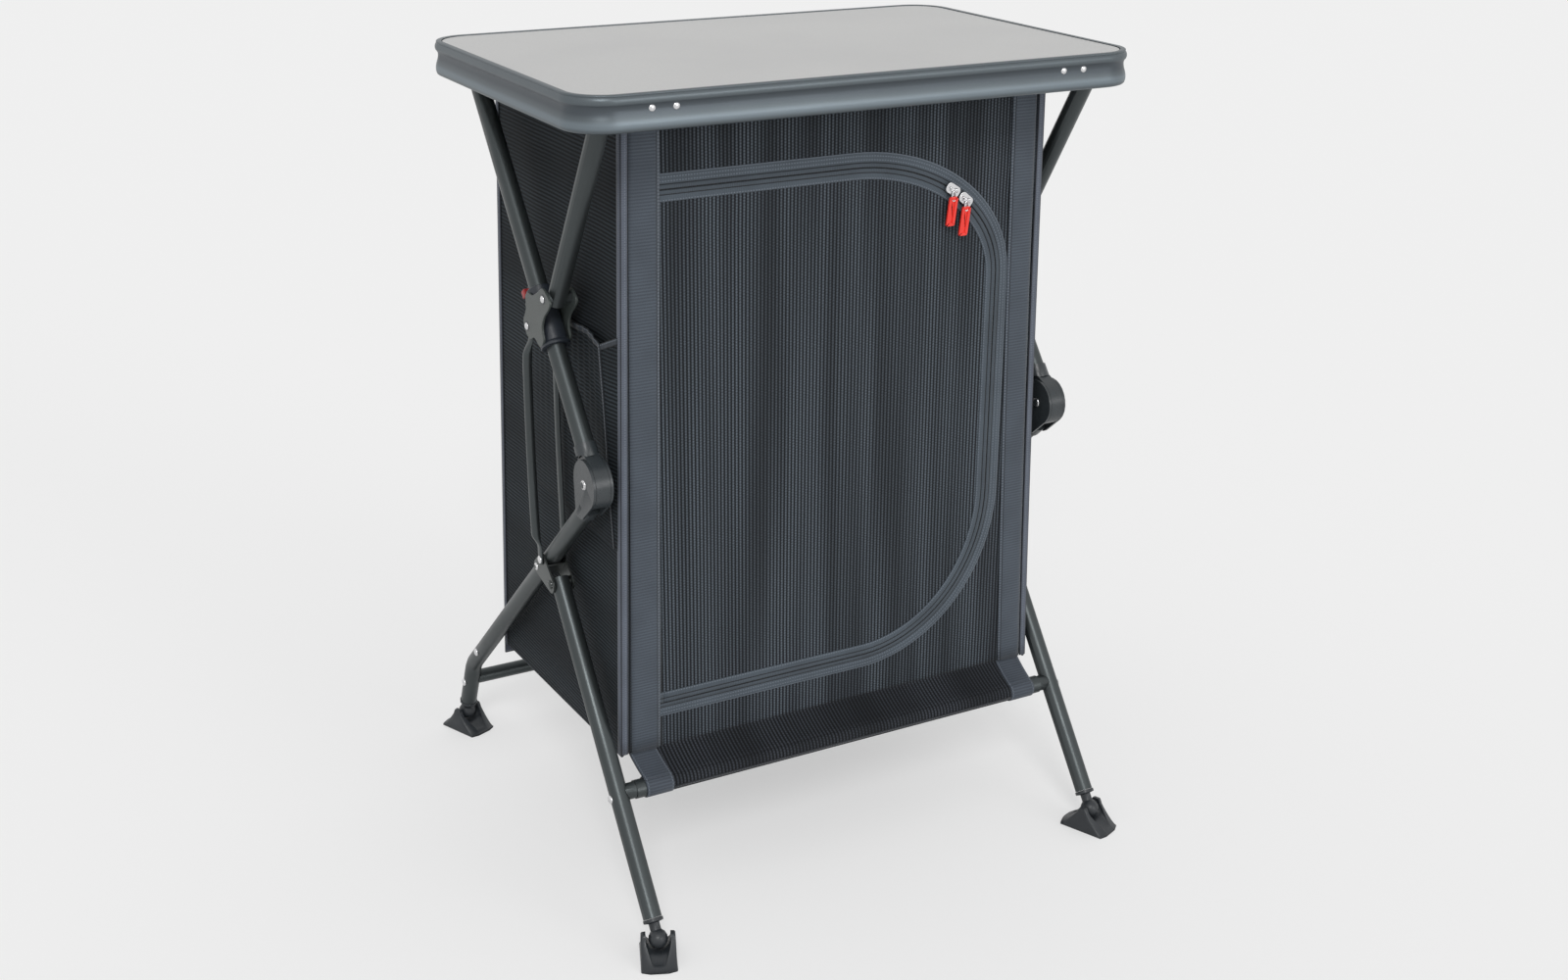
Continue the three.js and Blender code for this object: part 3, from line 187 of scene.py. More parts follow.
def clamp(value: float) -> float:
    """Keeps a number between 0 and 1.

    Args:
        value: The number.

    Returns:
        The nearest number in the range.
    """
    return min(1.0, max(0.0, value))


def ease(share: float) -> float:
    """Eases a share in and out.

    Args:
        share: From 0 to 1.

    Returns:
        From 0 to 1, level at both ends.
    """
    return share * share * (3 - 2 * share)


def swell(run: float, pitch: float) -> float:
    """Gives an even wave.

    Args:
        run: The distance along it.
        pitch: The wave's length.

    Returns:
        0 where it starts and 1 halfway.
    """
    return 0.5 - 0.5 * math.cos(2 * math.pi * run / pitch)


def flat_area(points: Sequence[Pair]) -> float:
    """Gives the area inside an outline.

    Args:
        points: The outline, in millimetres.

    Returns:
        Square metres.
    """
    total = sum(x * next_z - next_x * z for (x, z), (next_x, next_z) in zip(points, [*points[1:], points[0]]))
    return abs(total) / 2 * MM * MM


def standing(at: Vector, heading: Vector) -> Matrix:
    """Gives the placing of an upright form.

    Args:
        at: Where its foot goes.
        heading: Where its top looks.

    Returns:
        The matrix.
    """
    return Matrix.Translation(at) @ Vector((0, 0, 1)).rotation_difference(heading).to_matrix().to_4x4()


def ring(form: bmesh.types.BMesh, points: Sequence[Vector], filled: bool = False) -> list[Any]:
    """Adds a closed ring.

    Args:
        form: The mesh in the making.
        points: The ring's points.
        filled: Whether it gets a face.

    Returns:
        Its vertices.
    """
    verts = bmesh.ops.create_circle(form, cap_ends=filled, segments=len(points), radius=1.0)["verts"]
    for vertex, place in zip(verts, points):
        vertex.co = place
    return verts


def slab(form: bmesh.types.BMesh, outline: Sequence[Vector], through: Vector) -> list[Any]:
    """Adds a plate.

    Args:
        form: The mesh in the making.
        outline: The points round one face.
        through: The way and distance to the other face.

    Returns:
        The other face, in a list.
    """
    ring(form, outline, filled=True)
    grown = bmesh.ops.extrude_face_region(form, geom=list(form.faces), use_keep_orig=True)["geom"]
    bmesh.ops.translate(form, verts=[part for part in grown if isinstance(part, bmesh.types.BMVert)], vec=through)
    return [part for part in grown if isinstance(part, bmesh.types.BMFace)]


def hold(name: str, form: bmesh.types.BMesh, angle: float = 0.0, bevel: float = 0.0, segments: int = 3) -> Piece:
    """Makes a smoothly shaded object from a mesh in the making.

    Args:
        name: The object's name.
        form: The mesh, which is used up.
        angle: Above this angle, in degrees, an edge is sharp; 0 leaves every edge smooth.
        bevel: The softened edge's width, in millimetres, or 0 for none.
        segments: How many strips soften an edge.

    Returns:
        The object, in the scene.
    """
    mesh = bpy.data.meshes.new(name)
    form.to_mesh(mesh)
    form.free()
    mesh.shade_smooth()
    if angle:
        mesh.set_sharp_from_angle(angle=math.radians(angle))
    piece = bpy.data.objects.new(name, mesh)
    bpy.context.scene.collection.objects.link(piece)
    if bevel:
        edge = piece.modifiers.new("edge", "BEVEL")
        edge.width = bevel * MM
        edge.segments = segments
        edge.limit_method = "ANGLE"
        edge.angle_limit = math.radians(angle)
        edge.harden_normals = True
    return piece


class Slot(Enum):
    """The record's material slots."""

    BOARD = "board"
    RIM = "rim"
    TUBE = "grey_tube"
    BRACKET = "bracket_metal"
    MOULDING = "grey_moulding"
    BLACK = "black_plastic"
    RED = "red_plastic"
    CLOTH = "mesh_cloth"
    TAPE = "zip_tape"
    LINING = "lining_board"
    BRIGHT = "bright_metal"


class NodeBench:
    """A node tree, laid out by short calls."""

    def __init__(self, tree: bpy.types.NodeTree) -> None:
        """Empties the tree.

        Args:
            tree: The tree.
        """
        self.tree = tree
        self.tree.nodes.clear()

    def add(self, kind: str, feeds: Sequence[Any] | dict[Any, Any] = (), **settings: Any) -> Any:
        """Adds a node.

        Args:
            kind: The node's type, without its common start.
            feeds: What its inputs get, in order, or by number or name.
            **settings: Attributes to set on it.

        Returns:
            The node.
        """
        node = self.tree.nodes.new("ShaderNode" + kind)
        for key, value in settings.items():
            setattr(node, key, value)
        for key, value in feeds.items() if isinstance(feeds, dict) else enumerate(feeds):
            self.feed(node.inputs[key], value)
        return node

    def feed(self, target: Socket, value: Any) -> None:
        """Links a socket to an input, or sets the input's value.

        Args:
            target: The input.
            value: A socket, or a plain value.
        """
        if isinstance(value, bpy.types.NodeSocket):
            self.tree.links.new(value, target)
        else:
            target.default_value = value

    def maths(self, operation: str, *values: Any) -> Socket:
        """Adds a sum.

        Args:
            operation: The kind of sum.
            *values: Its inputs, sockets or numbers.

        Returns:
            The result.
        """
        return self.add("Math", values, operation=operation).outputs[0]

    def times(self, first: Any, second: Any) -> Socket:
        """Multiplies two numbers.

        Args:
            first: A socket or a number.
            second: The other.

        Returns:
            The product.
        """
        return self.maths("MULTIPLY", first, second)

    def mix(self, share: Any, first: Any, second: Any) -> Socket:
        """Mixes two colours.

        Args:
            share: How much of the second, a socket or a number.
            first: The first colour.
            second: The second colour.

        Returns:
            The mixed colour.
        """
        return self.add("Mix", {0: share, 6: first, 7: second}, data_type="RGBA").outputs[2]

    def place(self, kind: str = "Object") -> Socket:
        """Gives coordinates on the piece.

        Args:
            kind: Which coordinates.

        Returns:
            The vector socket.
        """
        return self.add("TexCoord").outputs[kind]

    def across_along(self) -> tuple[Socket, Socket]:
        """Gives the sheet's own coordinates, in metres.

        Returns:
            The distances across and along the sheet.
        """
        parts = self.add("SeparateXYZ", [self.place("UV")]).outputs
        return parts[0], parts[1]

    def flat(self, x: Any, y: Any) -> Socket:
        """Joins two numbers into a vector.

        Args:
            x: The first.
            y: The second.

        Returns:
            The vector.
        """
        return self.add("CombineXYZ", [x, y]).outputs[0]

    def noise(self, vector: Socket, scale: float, detail: float = 2.0) -> Socket:
        """Adds cloudy noise.

        Args:
            vector: Where it is read.
            scale: How many clouds to a metre.
            detail: How fine it gets.

        Returns:
            The noise, around a half.
        """
        return self.add("TexNoise", {"Vector": vector, "Scale": scale, "Detail": detail}).outputs[0]

    def remap(self, value: Socket, low: float, high: float, start: float = 0.0, end: float = 1.0) -> Socket:
        """Spreads a range of numbers over another, clamped.

        Args:
            value: The number.
            low: The range's start.
            high: The range's end.
            start: What low becomes.
            end: What high becomes.

        Returns:
            The new number.
        """
        return self.add("MapRange", [value, low, high, start, end]).outputs[0]

    def wave(self, distance: Socket, pitch: float) -> Socket:
        """Gives an even wave between 0 and 1.

        Args:
            distance: The distance along it, in metres.
            pitch: The wave's length, in metres.

        Returns:
            The wave.
        """
        return self.maths("MULTIPLY_ADD", self.maths("COSINE", self.times(distance, math.tau / pitch)), 0.5, 0.5)


class MaterialBench(NodeBench):
    """One material's nodes, round its shader."""

    def __init__(self, name: str) -> None:
        """Starts a material with a shader and its output.

        Args:
            name: The material's name.
        """
        self.material = bpy.data.materials.new(name)
        self.material.use_nodes = True
        super().__init__(self.material.node_tree)
        self.shader = self.add("BsdfPrincipled")
        self.output = self.add("OutputMaterial", {"Surface": self.shader.outputs["BSDF"]})

    def dress(
        self, colour: Any, roughness: Any, metallic: float = 0.0, sheen: float = 0.0, specular: float = 0.5
    ) -> None:
        """Sets the shader's inputs.

        Args:
            colour: The base colour.
            roughness: The roughness.
            metallic: How much of a metal it is.
            sheen: How much fuzz it has.
            specular: How strongly it mirrors.
        """
        names = ("Base Color", "Roughness", "Metallic", "Sheen Weight", "Specular IOR Level")
        for name, value in zip(names, (colour, roughness, metallic, sheen, specular)):
            self.feed(self.shader.inputs[name], value)

    def cover(self, share: Any, colour: Any) -> None:
        """Mixes a colour over the shader's base colour.

        Args:
            share: How much of it.
            colour: The colour.
        """
        target = self.shader.inputs["Base Color"]
        self.feed(target, self.mix(share, target.links[0].from_socket, colour))

    def bump(self, height: Socket, distance: float, strength: float) -> None:
        """Gives the surface a relief.

        Args:
            height: The relief, from 0 to 1.
            distance: Its full height, in metres.
            strength: How strongly it shows.
        """
        relief = self.add("Bump", {"Height": height, "Distance": distance, "Strength": strength})
        self.feed(self.shader.inputs["Normal"], relief.outputs[0])


@dataclass(frozen=True)
class Finish:
    """A surface finish, made into one material the first time it is used."""

    name: str
    colour: Colour

    def material(self) -> bpy.types.Material:
        """Gives the finish's material.

        Returns:
            The material, new or made before.
        """
        found = bpy.data.materials.get(self.name)
        if found is None:
            bench = MaterialBench(self.name)
            self.lay(bench)
            found = bench.material
        return found

    def lay(self, bench: MaterialBench) -> None:
        """Lays the finish's nodes.

        Args:
            bench: Where they go.
        """
        raise NotImplementedError


@dataclass(frozen=True)
class CoatedMetal(Finish):
    """Powder-coated or painted metal with a fine fleck and faint wear."""

    metallic: float = 0.7
    roughness: float = 0.3
    fleck: float = 0.25
    wear: float = 0.4
    fine_scale: float = 1400.0
    cloud_scale: float = 11.0
    peel_scale: float = 520.0
    peel_depth: float = 0.00006

    def lay(self, bench: MaterialBench) -> None:
        """Lays the coat's fleck, cloudiness and orange-peel relief.

        Args:
            bench: Where the nodes go.
        """
        place = bench.place()
        fine = bench.noise(place, self.fine_scale, 1.0)
        cloud = bench.noise(place, self.cloud_scale, 3.0)
        pale, deep = tinted(self.colour, 1.5, lift=0.01), tinted(self.colour, 0.75)
        flecked = bench.mix(bench.remap(fine, 0.5, 0.72, 0.0, self.fleck), self.colour, pale)
        shaded = bench.mix(bench.remap(cloud, 0.35, 0.7, 0.0, self.wear), flecked, deep)
        rough = bench.remap(cloud, 0.3, 0.75, self.roughness - self.wear * 0.1, self.roughness + self.wear * 0.2)
        bench.dress(shaded, rough, self.metallic)
        bench.bump(bench.noise(place, self.peel_scale), self.peel_depth, 0.4)


@dataclass(frozen=True)
class RimMetal(CoatedMetal):
    """The table rim's coat, with painted shade in its hollow and a painted highlight on its bulge."""

    # Heights of the painted shade in the hollow and of the painted highlight on the bulge.
    hollow_painted_shade: tuple[float, float, float, float] = (0.9505, 0.9555, 0.964, 0.966)
    bulge: tuple[float, float, float, float] = (0.939, 0.942, 0.946, 0.95)

    def lay(self, bench: MaterialBench) -> None:
        """Lays the coat, then painted shade over its hollow and a painted highlight over its bulge, each between two
        heights.

        Args:
            bench: Where the nodes go.
        """
        super().lay(bench)
        height = bench.add("SeparateXYZ", [bench.place()]).outputs[2]
        # Painted shade darkens the hollow and a painted highlight lightens the bulge, between the given heights.
        painted_shade_and_highlight = (
            (self.hollow_painted_shade, 0.55, tinted(self.colour, 0.4, 0.4, 0.45)),
            (self.bulge, 0.6, tinted(self.colour, 1.9, 1.95, 2.0)),
        )
        for (start, full, fade, end), share, tone in painted_shade_and_highlight:
            within = bench.times(bench.remap(height, start, full), bench.remap(height, fade, end, 1.0, 0.0))
            bench.cover(bench.times(within, share), tone)


@dataclass(frozen=True)
class MouldedPlastic(Finish):
    """Moulded plastic with a fine spark-eroded grain."""

    roughness: float = 0.5
    grain: float = 0.00012
    grain_scale: float = 900.0
    cloud_scale: float = 26.0

    def lay(self, bench: MaterialBench) -> None:
        """Lays the grain and its scuffs.

        Args:
            bench: Where the nodes go.
        """
        grain = bench.noise(bench.place(), self.grain_scale)
        cloud = bench.noise(bench.place(), self.cloud_scale, 4.0)
        pale = tinted(self.colour, 1.25, lift=0.012)
        scuffed = bench.mix(bench.remap(cloud, 0.48, 0.75, 0.0, 0.6), self.colour, pale)
        bench.dress(scuffed, bench.remap(grain, 0.35, 0.7, self.roughness - 0.07, self.roughness + 0.1))
        bench.bump(grain, self.grain, 0.7)


@dataclass(frozen=True)
class Laminate(Finish):
    """A satin laminate with a faint speckle."""

    speckle: Colour = (0.4, 0.4, 0.4, 1.0)
    roughness: float = 0.42
    fine_scale: float = 1100.0
    cloud_scale: float = 5.0
    relief: float = 0.00005

    def lay(self, bench: MaterialBench) -> None:
        """Lays the speckle and a soft, almost flat relief.

        Args:
            bench: Where the nodes go.
        """
        fine = bench.noise(bench.place(), self.fine_scale)
        cloud = bench.noise(bench.place(), self.cloud_scale, 3.0)
        speckled = bench.mix(bench.remap(fine, 0.56, 0.7, 0.0, 0.3), self.colour, self.speckle)
        clouded = bench.mix(bench.remap(cloud, 0.4, 0.65), speckled, tinted(self.colour, 0.95, 0.95, 0.955))
        bench.dress(clouded, bench.remap(fine, 0.3, 0.7, self.roughness - 0.04, self.roughness + 0.08))
        bench.bump(fine, self.relief, 0.5)


@dataclass(frozen=True)
class BrightMetal(Finish):
    """Plated metal with fine turning marks."""

    roughness: float = 0.24
    streak_scale: float = 340.0
    relief: float = 0.00003

    def lay(self, bench: MaterialBench) -> None:
        """Lays the plating's streaks.

        Args:
            bench: Where the nodes go.
        """
        cloud = bench.noise(bench.place(), self.streak_scale, 3.0)
        streaked = bench.mix(bench.remap(cloud, 0.45, 0.75, 0.0, 0.6), self.colour, tinted(self.colour, 0.7))
        bench.dress(streaked, bench.remap(cloud, 0.3, 0.7, self.roughness - 0.06, self.roughness + 0.1), 1.0)
        bench.bump(cloud, self.relief, 0.5)


@dataclass(frozen=True)
class RibbedCloth(Finish):
    """Coarse knitted mesh: raised ribs of staggered beads with dark gaps between them, partly the open knit and partly
    painted shade.
    """

    gap: Colour = srgb(17, 19, 22)
    rib_pitch: float = 0.0046
    bead_pitch: float = 0.0034
    painted_sheen_band_scale: float = 27.0
    sheen: float = 0.1
    yarn_scale: float = 700.0
    relief: float = 0.0007

    def lay(self, bench: MaterialBench) -> None:
        """Lays the ribs, their beads, painted shade in the troughs and painted sheen bands in which the ribs seem to
        catch the light.

        Args:
            bench: Where the nodes go.
        """
        across, along = bench.across_along()
        number = bench.maths("FLOOR", bench.maths("MULTIPLY_ADD", across, 1 / self.rib_pitch, 0.5))
        stagger = bench.maths("MULTIPLY_ADD", number, self.bead_pitch * 0.5, along)
        bead = bench.maths("MULTIPLY_ADD", bench.wave(stagger, self.bead_pitch), 0.45, 0.55)
        height = bench.times(bench.wave(across, self.rib_pitch), bead)
        band = bench.noise(bench.flat(across, bench.times(along, 0.05)), self.painted_sheen_band_scale, 1.0)
        yarn = bench.noise(bench.flat(across, along), self.yarn_scale)
        lit = bench.mix(bench.remap(yarn, 0.3, 0.7, 0.0, 0.4), self.colour, self.gap)
        # Painted shade and painted sheen: the troughs take the dark gap colour, and the noise bands brighten the ribs
        # where they seem to catch the light.
        shown = bench.times(bench.remap(height, 0.12, 0.85), bench.remap(band, 0.36, 0.6, 0.42, 1.0))
        bench.dress(bench.mix(shown, self.gap, lit), 0.82, sheen=self.sheen, specular=0.2)
        bench.bump(height, self.relief, 0.8)


@dataclass(frozen=True)
class WovenTape(Finish):
    """Woven tape with cross ribs, rows of stitches and dark lines of painted shade where it is folded or grooved."""

    stitch_rows: tuple[float, ...] = ()
    painted_shade_lines: tuple[float, ...] = ()
    pale_lines: tuple[float, ...] = ()
    line_width: float = 0.0007
    weave_pitch: float = 0.0022
    stitch_pitch: float = 0.0034
    weave_depth: float = 0.6
    stitch_width: float = 0.0006
    stitch_colour: Colour = srgb(104, 112, 122)
    dark: Colour = srgb(14, 17, 21)
    yarn_scale: float = 900.0
    cloud_scale: float = 16.0
    relief: float = 0.0004

    def rows(self, bench: MaterialBench, across: Socket, offsets: Sequence[float], width: float) -> Any:
        """Marks lines that run along the tape.

        Args:
            bench: Where the nodes go.
            across: The distance across the tape.
            offsets: Where the lines are.
            width: Half a line's width.

        Returns:
            1 on a line and 0 elsewhere.
        """
        total: Any = 0.0
        for offset in offsets:
            away = bench.maths("ABSOLUTE", bench.maths("SUBTRACT", across, offset))
            total = bench.maths("MAXIMUM", total, bench.remap(away, width * 0.6, width * 1.4, 1.0, 0.0))
        return total

    def lay(self, bench: MaterialBench) -> None:
        """Lays the weave, the lines, among them dark lines of painted shade, and the stitches.

        Args:
            bench: Where the nodes go.
        """
        across, along = bench.across_along()
        weave = bench.wave(along, self.weave_pitch)
        yarn = bench.noise(bench.flat(across, along), self.yarn_scale)
        cloud = bench.noise(bench.flat(across, along), self.cloud_scale)
        deep, pale = tinted(self.colour, 0.5, 0.5, 0.52), tinted(self.colour, 1.5, 1.5, 1.55)
        base = bench.mix(bench.times(weave, self.weave_depth), self.colour, deep)
        base = bench.mix(bench.remap(yarn, 0.35, 0.75, 0.0, 0.35), base, pale)
        base = bench.mix(bench.remap(cloud, 0.4, 0.7, 0.0, 0.4), base, deep)
        height = bench.maths("MULTIPLY_ADD", weave, -0.3, 0.6)
        if self.pale_lines:
            edge = self.rows(bench, across, self.pale_lines, self.line_width)
            base = bench.mix(bench.times(edge, 0.75), base, self.stitch_colour)
        # Painted shade: the dark lines darken the tape where it is folded or grooved.
        if self.painted_shade_lines:
            line = self.rows(bench, across, self.painted_shade_lines, self.line_width)
            base = bench.mix(bench.times(line, 0.9), base, self.dark)
            height = bench.maths("SUBTRACT", height, bench.times(line, 0.6))
        if self.stitch_rows:
            row = self.rows(bench, across, self.stitch_rows, self.stitch_width)
            stitch = bench.times(row, bench.remap(bench.wave(along, self.stitch_pitch), 0.3, 0.45))
            base = bench.mix(bench.times(stitch, 0.8), base, self.stitch_colour)
            height = bench.maths("ADD", height, bench.times(stitch, 0.4))
        bench.dress(base, 0.72, sheen=0.1, specular=0.35)
        bench.bump(height, self.relief, 0.7)


@dataclass(frozen=True)
class ZipTeeth(WovenTape):
    """Zip tape with a row of coil teeth."""

    teeth: Pair = (-0.002, 0.002)
    tooth_pitch: float = 0.0021

    def lay(self, bench: MaterialBench) -> None:
        """Lays the tape, and over it the coil's teeth.

        Args:
            bench: Where the nodes go.
        """
        super().lay(bench)
        across, along = bench.across_along()
        reach = (self.teeth[1] - self.teeth[0]) / 2
        away = bench.maths("ABSOLUTE", bench.maths("SUBTRACT", across, sum(self.teeth) / 2))
        tooth = bench.times(bench.remap(away, reach * 0.8, reach, 1.0, 0.0), bench.wave(along, self.tooth_pitch))
        bench.cover(bench.times(tooth, 0.28), self.dark)


TUBE = CoatedMetal("grey coated tube", (0.058, 0.067, 0.069, 1.0), 0.65, 0.36)
RIM = RimMetal("grey coated rim", (0.108, 0.127, 0.139, 1.0), 0.7, 0.43, 0.2, 0.1)
BRACKET = CoatedMetal("bracket plate", (0.078, 0.086, 0.084, 1.0), 0.8, 0.36)
MOULDING = MouldedPlastic("grey moulding", srgb(62, 68, 66), 0.4)
# Painted shade: the collar is a darker copy of the grey moulding, standing in for the shade on its side.
COLLAR_PAINTED_SHADE = MouldedPlastic("collar moulding in painted shade", srgb(40, 45, 52), 0.36)
KNUCKLE = MouldedPlastic("knuckle moulding", srgb(46, 51, 54), 0.34)
BLACK = MouldedPlastic("black moulding", srgb(36, 40, 44), 0.42)
RED = MouldedPlastic("red moulding", srgb(226, 48, 36), 0.38, 0.00006)
TRIGGER = MouldedPlastic("dark red moulding", srgb(150, 32, 34), 0.4)
BOARD = Laminate("light laminate", srgb(191, 191, 190), srgb(164, 164, 164))
LINING = Laminate("dark lining board", srgb(40, 43, 47), srgb(60, 63, 68), 0.6)
BRIGHT = BrightMetal("plated metal", (0.72, 0.72, 0.73, 1.0))
MESH = RibbedCloth("ribbed mesh", srgb(95, 104, 113), srgb(17, 20, 24), sheen=0.06)
# Painted shade: the side, back and pocket mesh is a darker copy of the ribbed mesh, standing in for the shade on faces
# turned from the light.
SIDE_MESH_PAINTED_SHADE = RibbedCloth("ribbed side mesh in painted shade", srgb(60, 69, 75), srgb(13, 16, 19), painted_sheen_band_scale=9.0, sheen=0.0)
SKIRT_MESH = RibbedCloth("ribbed skirt mesh", srgb(64, 69, 76), srgb(12, 14, 17), painted_sheen_band_scale=12.0, sheen=0.02)
OUTER_TAPE = ZipTeeth(
    "outer zip tape", srgb(71, 80, 88), (0.0088, 0.0132), (0.0003, 0.0056), (0.0168,), 0.0006, teeth=(0.0006, 0.0048)
)
INNER_TAPE = ZipTeeth(
    "inner zip tape", srgb(71, 80, 88), (-0.0118,), (-0.0003, -0.0056), (), 0.0006, teeth=(-0.0048, -0.0006)
)
WEBBING = WovenTape("front webbing", srgb(71, 79, 88), (0.0014,), (0.0036,), (), 0.0005, 0.0036, 0.0036, 0.9, 0.0015)
CORNER = WovenTape("corner binding", srgb(88, 94, 105), (0.0042,), (0.0008, 0.0092), (), 0.0007, 0.0024)
SEAM = WovenTape(
    "sleeve seam", srgb(33, 36, 41), (0.0022,), (0.0003, 0.0040), (), 0.0005, 0.002,
    stitch_width=0.0005, stitch_colour=srgb(74, 79, 87),
)
SKIRT_WEB = WovenTape("skirt webbing", srgb(66, 73, 82), (0.0022, 0.033), (), (), 0.0008, 0.0036, 0.0036, 0.9)
EDGING = WovenTape("edge binding", srgb(74, 79, 90), (0.0044,), (0.0006, 0.0098), (), 0.0006, 0.0019)
BACK_HEM = WovenTape("back hem", srgb(60, 64, 74), (0.003, 0.015), (0.0008,), (), 0.0006)
ELASTIC = WovenTape("pocket elastic", srgb(44, 50, 57), (0.002,), (0.0004, 0.0078), (), 0.0005, 0.0026)
PIPING = WovenTape("hem piping", srgb(52, 56, 64), (), (), (), 0.0006, 0.0024)


@dataclass
class Workshop:
    """Makes pieces and puts them on the frame with their finish and body."""

    frame: dict[str, Any]
    top: float = 0.9633
    fold_keep: float = 0.306
    dome_section: tuple[Pair, ...] = ((0.0, 1.0), (0.42, 0.95), (0.74, 0.74), (0.93, 0.42), (1.0, 0.12), (1.0, -0.15))

    def settle(
        self, piece: Piece, body: str, finish: Finish, slot: Slot, replaces: Sequence[str] = (), soft: bool = False
    ) -> Piece:
        """Gives a piece its finish and has it ride on a body.

        Args:
            piece: The piece, in place.
            body: The body that it moves with.
            finish: Its finish.
            slot: Not used.
            replaces: The frame's nodes that it stands for.
            soft: Whether it gets a mesh of its own.

        Returns:
            The same piece.
        """
        piece.data.materials.clear()
        piece.data.materials.append(finish.material())
        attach(piece, body)
        if soft:
            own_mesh(piece)
        if replaces:
            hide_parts(*replaces)
        LOG.info("%s rides on %s", piece.name, body)
        return piece

    def carry(self, node: str, finish: Finish, slot: Slot, bevel: float = 0.5) -> None:
        """Dresses a copy of one of the frame's nodes, with its edges softened.

        Args:
            node: The node.
            finish: Its finish.
            slot: The record's slot for it.
            bevel: The softened edge's width, in millimetres.
        """
        source = self.frame["nodes"][node]
        form = bmesh.new()
        form.from_mesh(source.data)
        bmesh.ops.remove_doubles(form, verts=form.verts, dist=2 * MERGE)
        bmesh.ops.dissolve_limit(
            form, angle_limit=math.radians(0.6), use_dissolve_boundaries=False, verts=form.verts, edges=form.edges
        )
        bmesh.ops.recalc_face_normals(form, faces=form.faces)
        self.settle(hold("dressed_" + node, form, 38.0, bevel, 2), source["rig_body"], finish, slot, [node])

    def weave(
        self,
        name: str,
        across: Sequence[float],
        along: Sequence[float],
        surface: Surface,
        outward: Vector | Callable[[Vector], Vector],
        thickness: float,
        finish: Finish,
        body: str = "table",
        replaces: Sequence[str] = (),
        soft: bool = True,
        slot: Slot = Slot.CLOTH,
    ) -> Piece:
        """Makes a thin sheet over a grid and puts it on.

        Args:
            name: The sheet's name.
            across: The numbers handed to surface across it.
            along: The numbers handed to surface along it.
            surface: Gives a point and its own coordinates, in metres, for a pair of numbers.
            outward: The direction that its outer face looks in, or a function that gives it for a point.
            thickness: The sheet's thickness, in millimetres, added on its inner side.
            finish: Its finish.
            body: The body that it rides on.
            replaces: The frame's nodes that it stands for.
            soft: Whether it gets a mesh of its own.
            slot: The record's slot for it.

        Returns:
            The sheet.
        """
        form = bmesh.new()
        columns, rows = len(across) - 1, len(along) - 1
        bmesh.ops.create_grid(form, x_segments=columns, y_segments=rows, size=0.5)
        cut: dict[int, Pair] = {}
        form.verts.index_update()
        for vertex in form.verts:
            column = round((vertex.co.x + 0.5) * columns)
            row = round((vertex.co.y + 0.5) * rows)
            vertex.co, cut[vertex.index] = surface(across[column], along[row])
        chart = form.loops.layers.uv.new("cut")
        form.normal_update()
        facing = 0.0
        for face in form.faces:
            for loop in face.loops:
                loop[chart].uv = cut[loop.vert.index]
            wanted = outward(face.calc_center_median()) if callable(outward) else outward
            facing += face.normal.dot(wanted) * face.calc_area()
        if facing < 0:
            bmesh.ops.reverse_faces(form, faces=form.faces)
        piece = hold(name, form)
        body_wall = piece.modifiers.new("thickness", "SOLIDIFY")
        body_wall.thickness = thickness * MM
        body_wall.offset = -1.0
        return self.settle(piece, body, finish, slot, replaces, soft)

    def turned(
        self, name: str, profile: Sequence[Pair], at: Vector, axis: Vector, closed: bool = True, count: int = 36
    ) -> Piece:
        """Turns a profile round an axis.

        Args:
            name: The piece's name.
            profile: The profile: the radius and the place along the axis, in millimetres.
            at: Where the axis starts.
            axis: Its direction.
            closed: Whether the profile closes on itself; if not, the gap is filled flat.
            count: How many steps go round.

        Returns:
            The piece.
        """
        form = bmesh.new()
        verts = [form.verts.new((radius * MM, 0, along * MM)) for radius, along in profile]
        edges = [form.edges.new(pair) for pair in zip(verts, verts[1:] + (verts[:1] if closed else []))]
        bmesh.ops.spin(
            form, geom=verts + edges, cent=(0, 0, 0), axis=(0, 0, 1), angle=math.tau, steps=count, use_merge=True
        )
        bmesh.ops.remove_doubles(form, verts=form.verts, dist=MERGE)
        if not closed:
            bmesh.ops.holes_fill(form, edges=form.edges, sides=0)
        bmesh.ops.recalc_face_normals(form, faces=form.faces)
        form.transform(standing(at, axis))
        return hold(name, form, 35.0 if closed else 50.0)

    def dome(
        self, name: str, body: str, at: Vector, facing: Vector, radius: float, height: float, finish: Finish = BRIGHT
    ) -> None:
        """Puts on a domed rivet head.

        Args:
            name: Its name.
            body: The body that it rides on.
            at: The middle of its foot.
            facing: The direction it looks in.
            radius: Its radius, in millimetres.
            height: Its height, in millimetres.
            finish: Its finish.
        """
        profile = [(share * radius, rise * height) for share, rise in self.dome_section]
        self.settle(self.turned(name, profile, at, facing, False, 24), body, finish, Slot.BRIGHT)

    def rod(self, name: str, route: Sequence[Vector], radius: float, sides: int) -> Piece:
        """Sweeps a round rod along a route.

        Args:
            name: Its name.
            route: The points of its middle line.
            radius: Its radius, in millimetres.
            sides: How many sides it has.

        Returns:
            The rod.
        """
        form, rings = bmesh.new(), []
        for index, point in enumerate(route):
            heading = (route[min(len(route) - 1, index + 1)] - route[max(0, index - 1)]).normalized()
            place = standing(point, heading)
            made = bmesh.ops.create_circle(form, cap_ends=False, segments=sides, radius=radius * MM, matrix=place)
            rings.append(made["verts"])
        return self.joined_rings(name, form, rings)

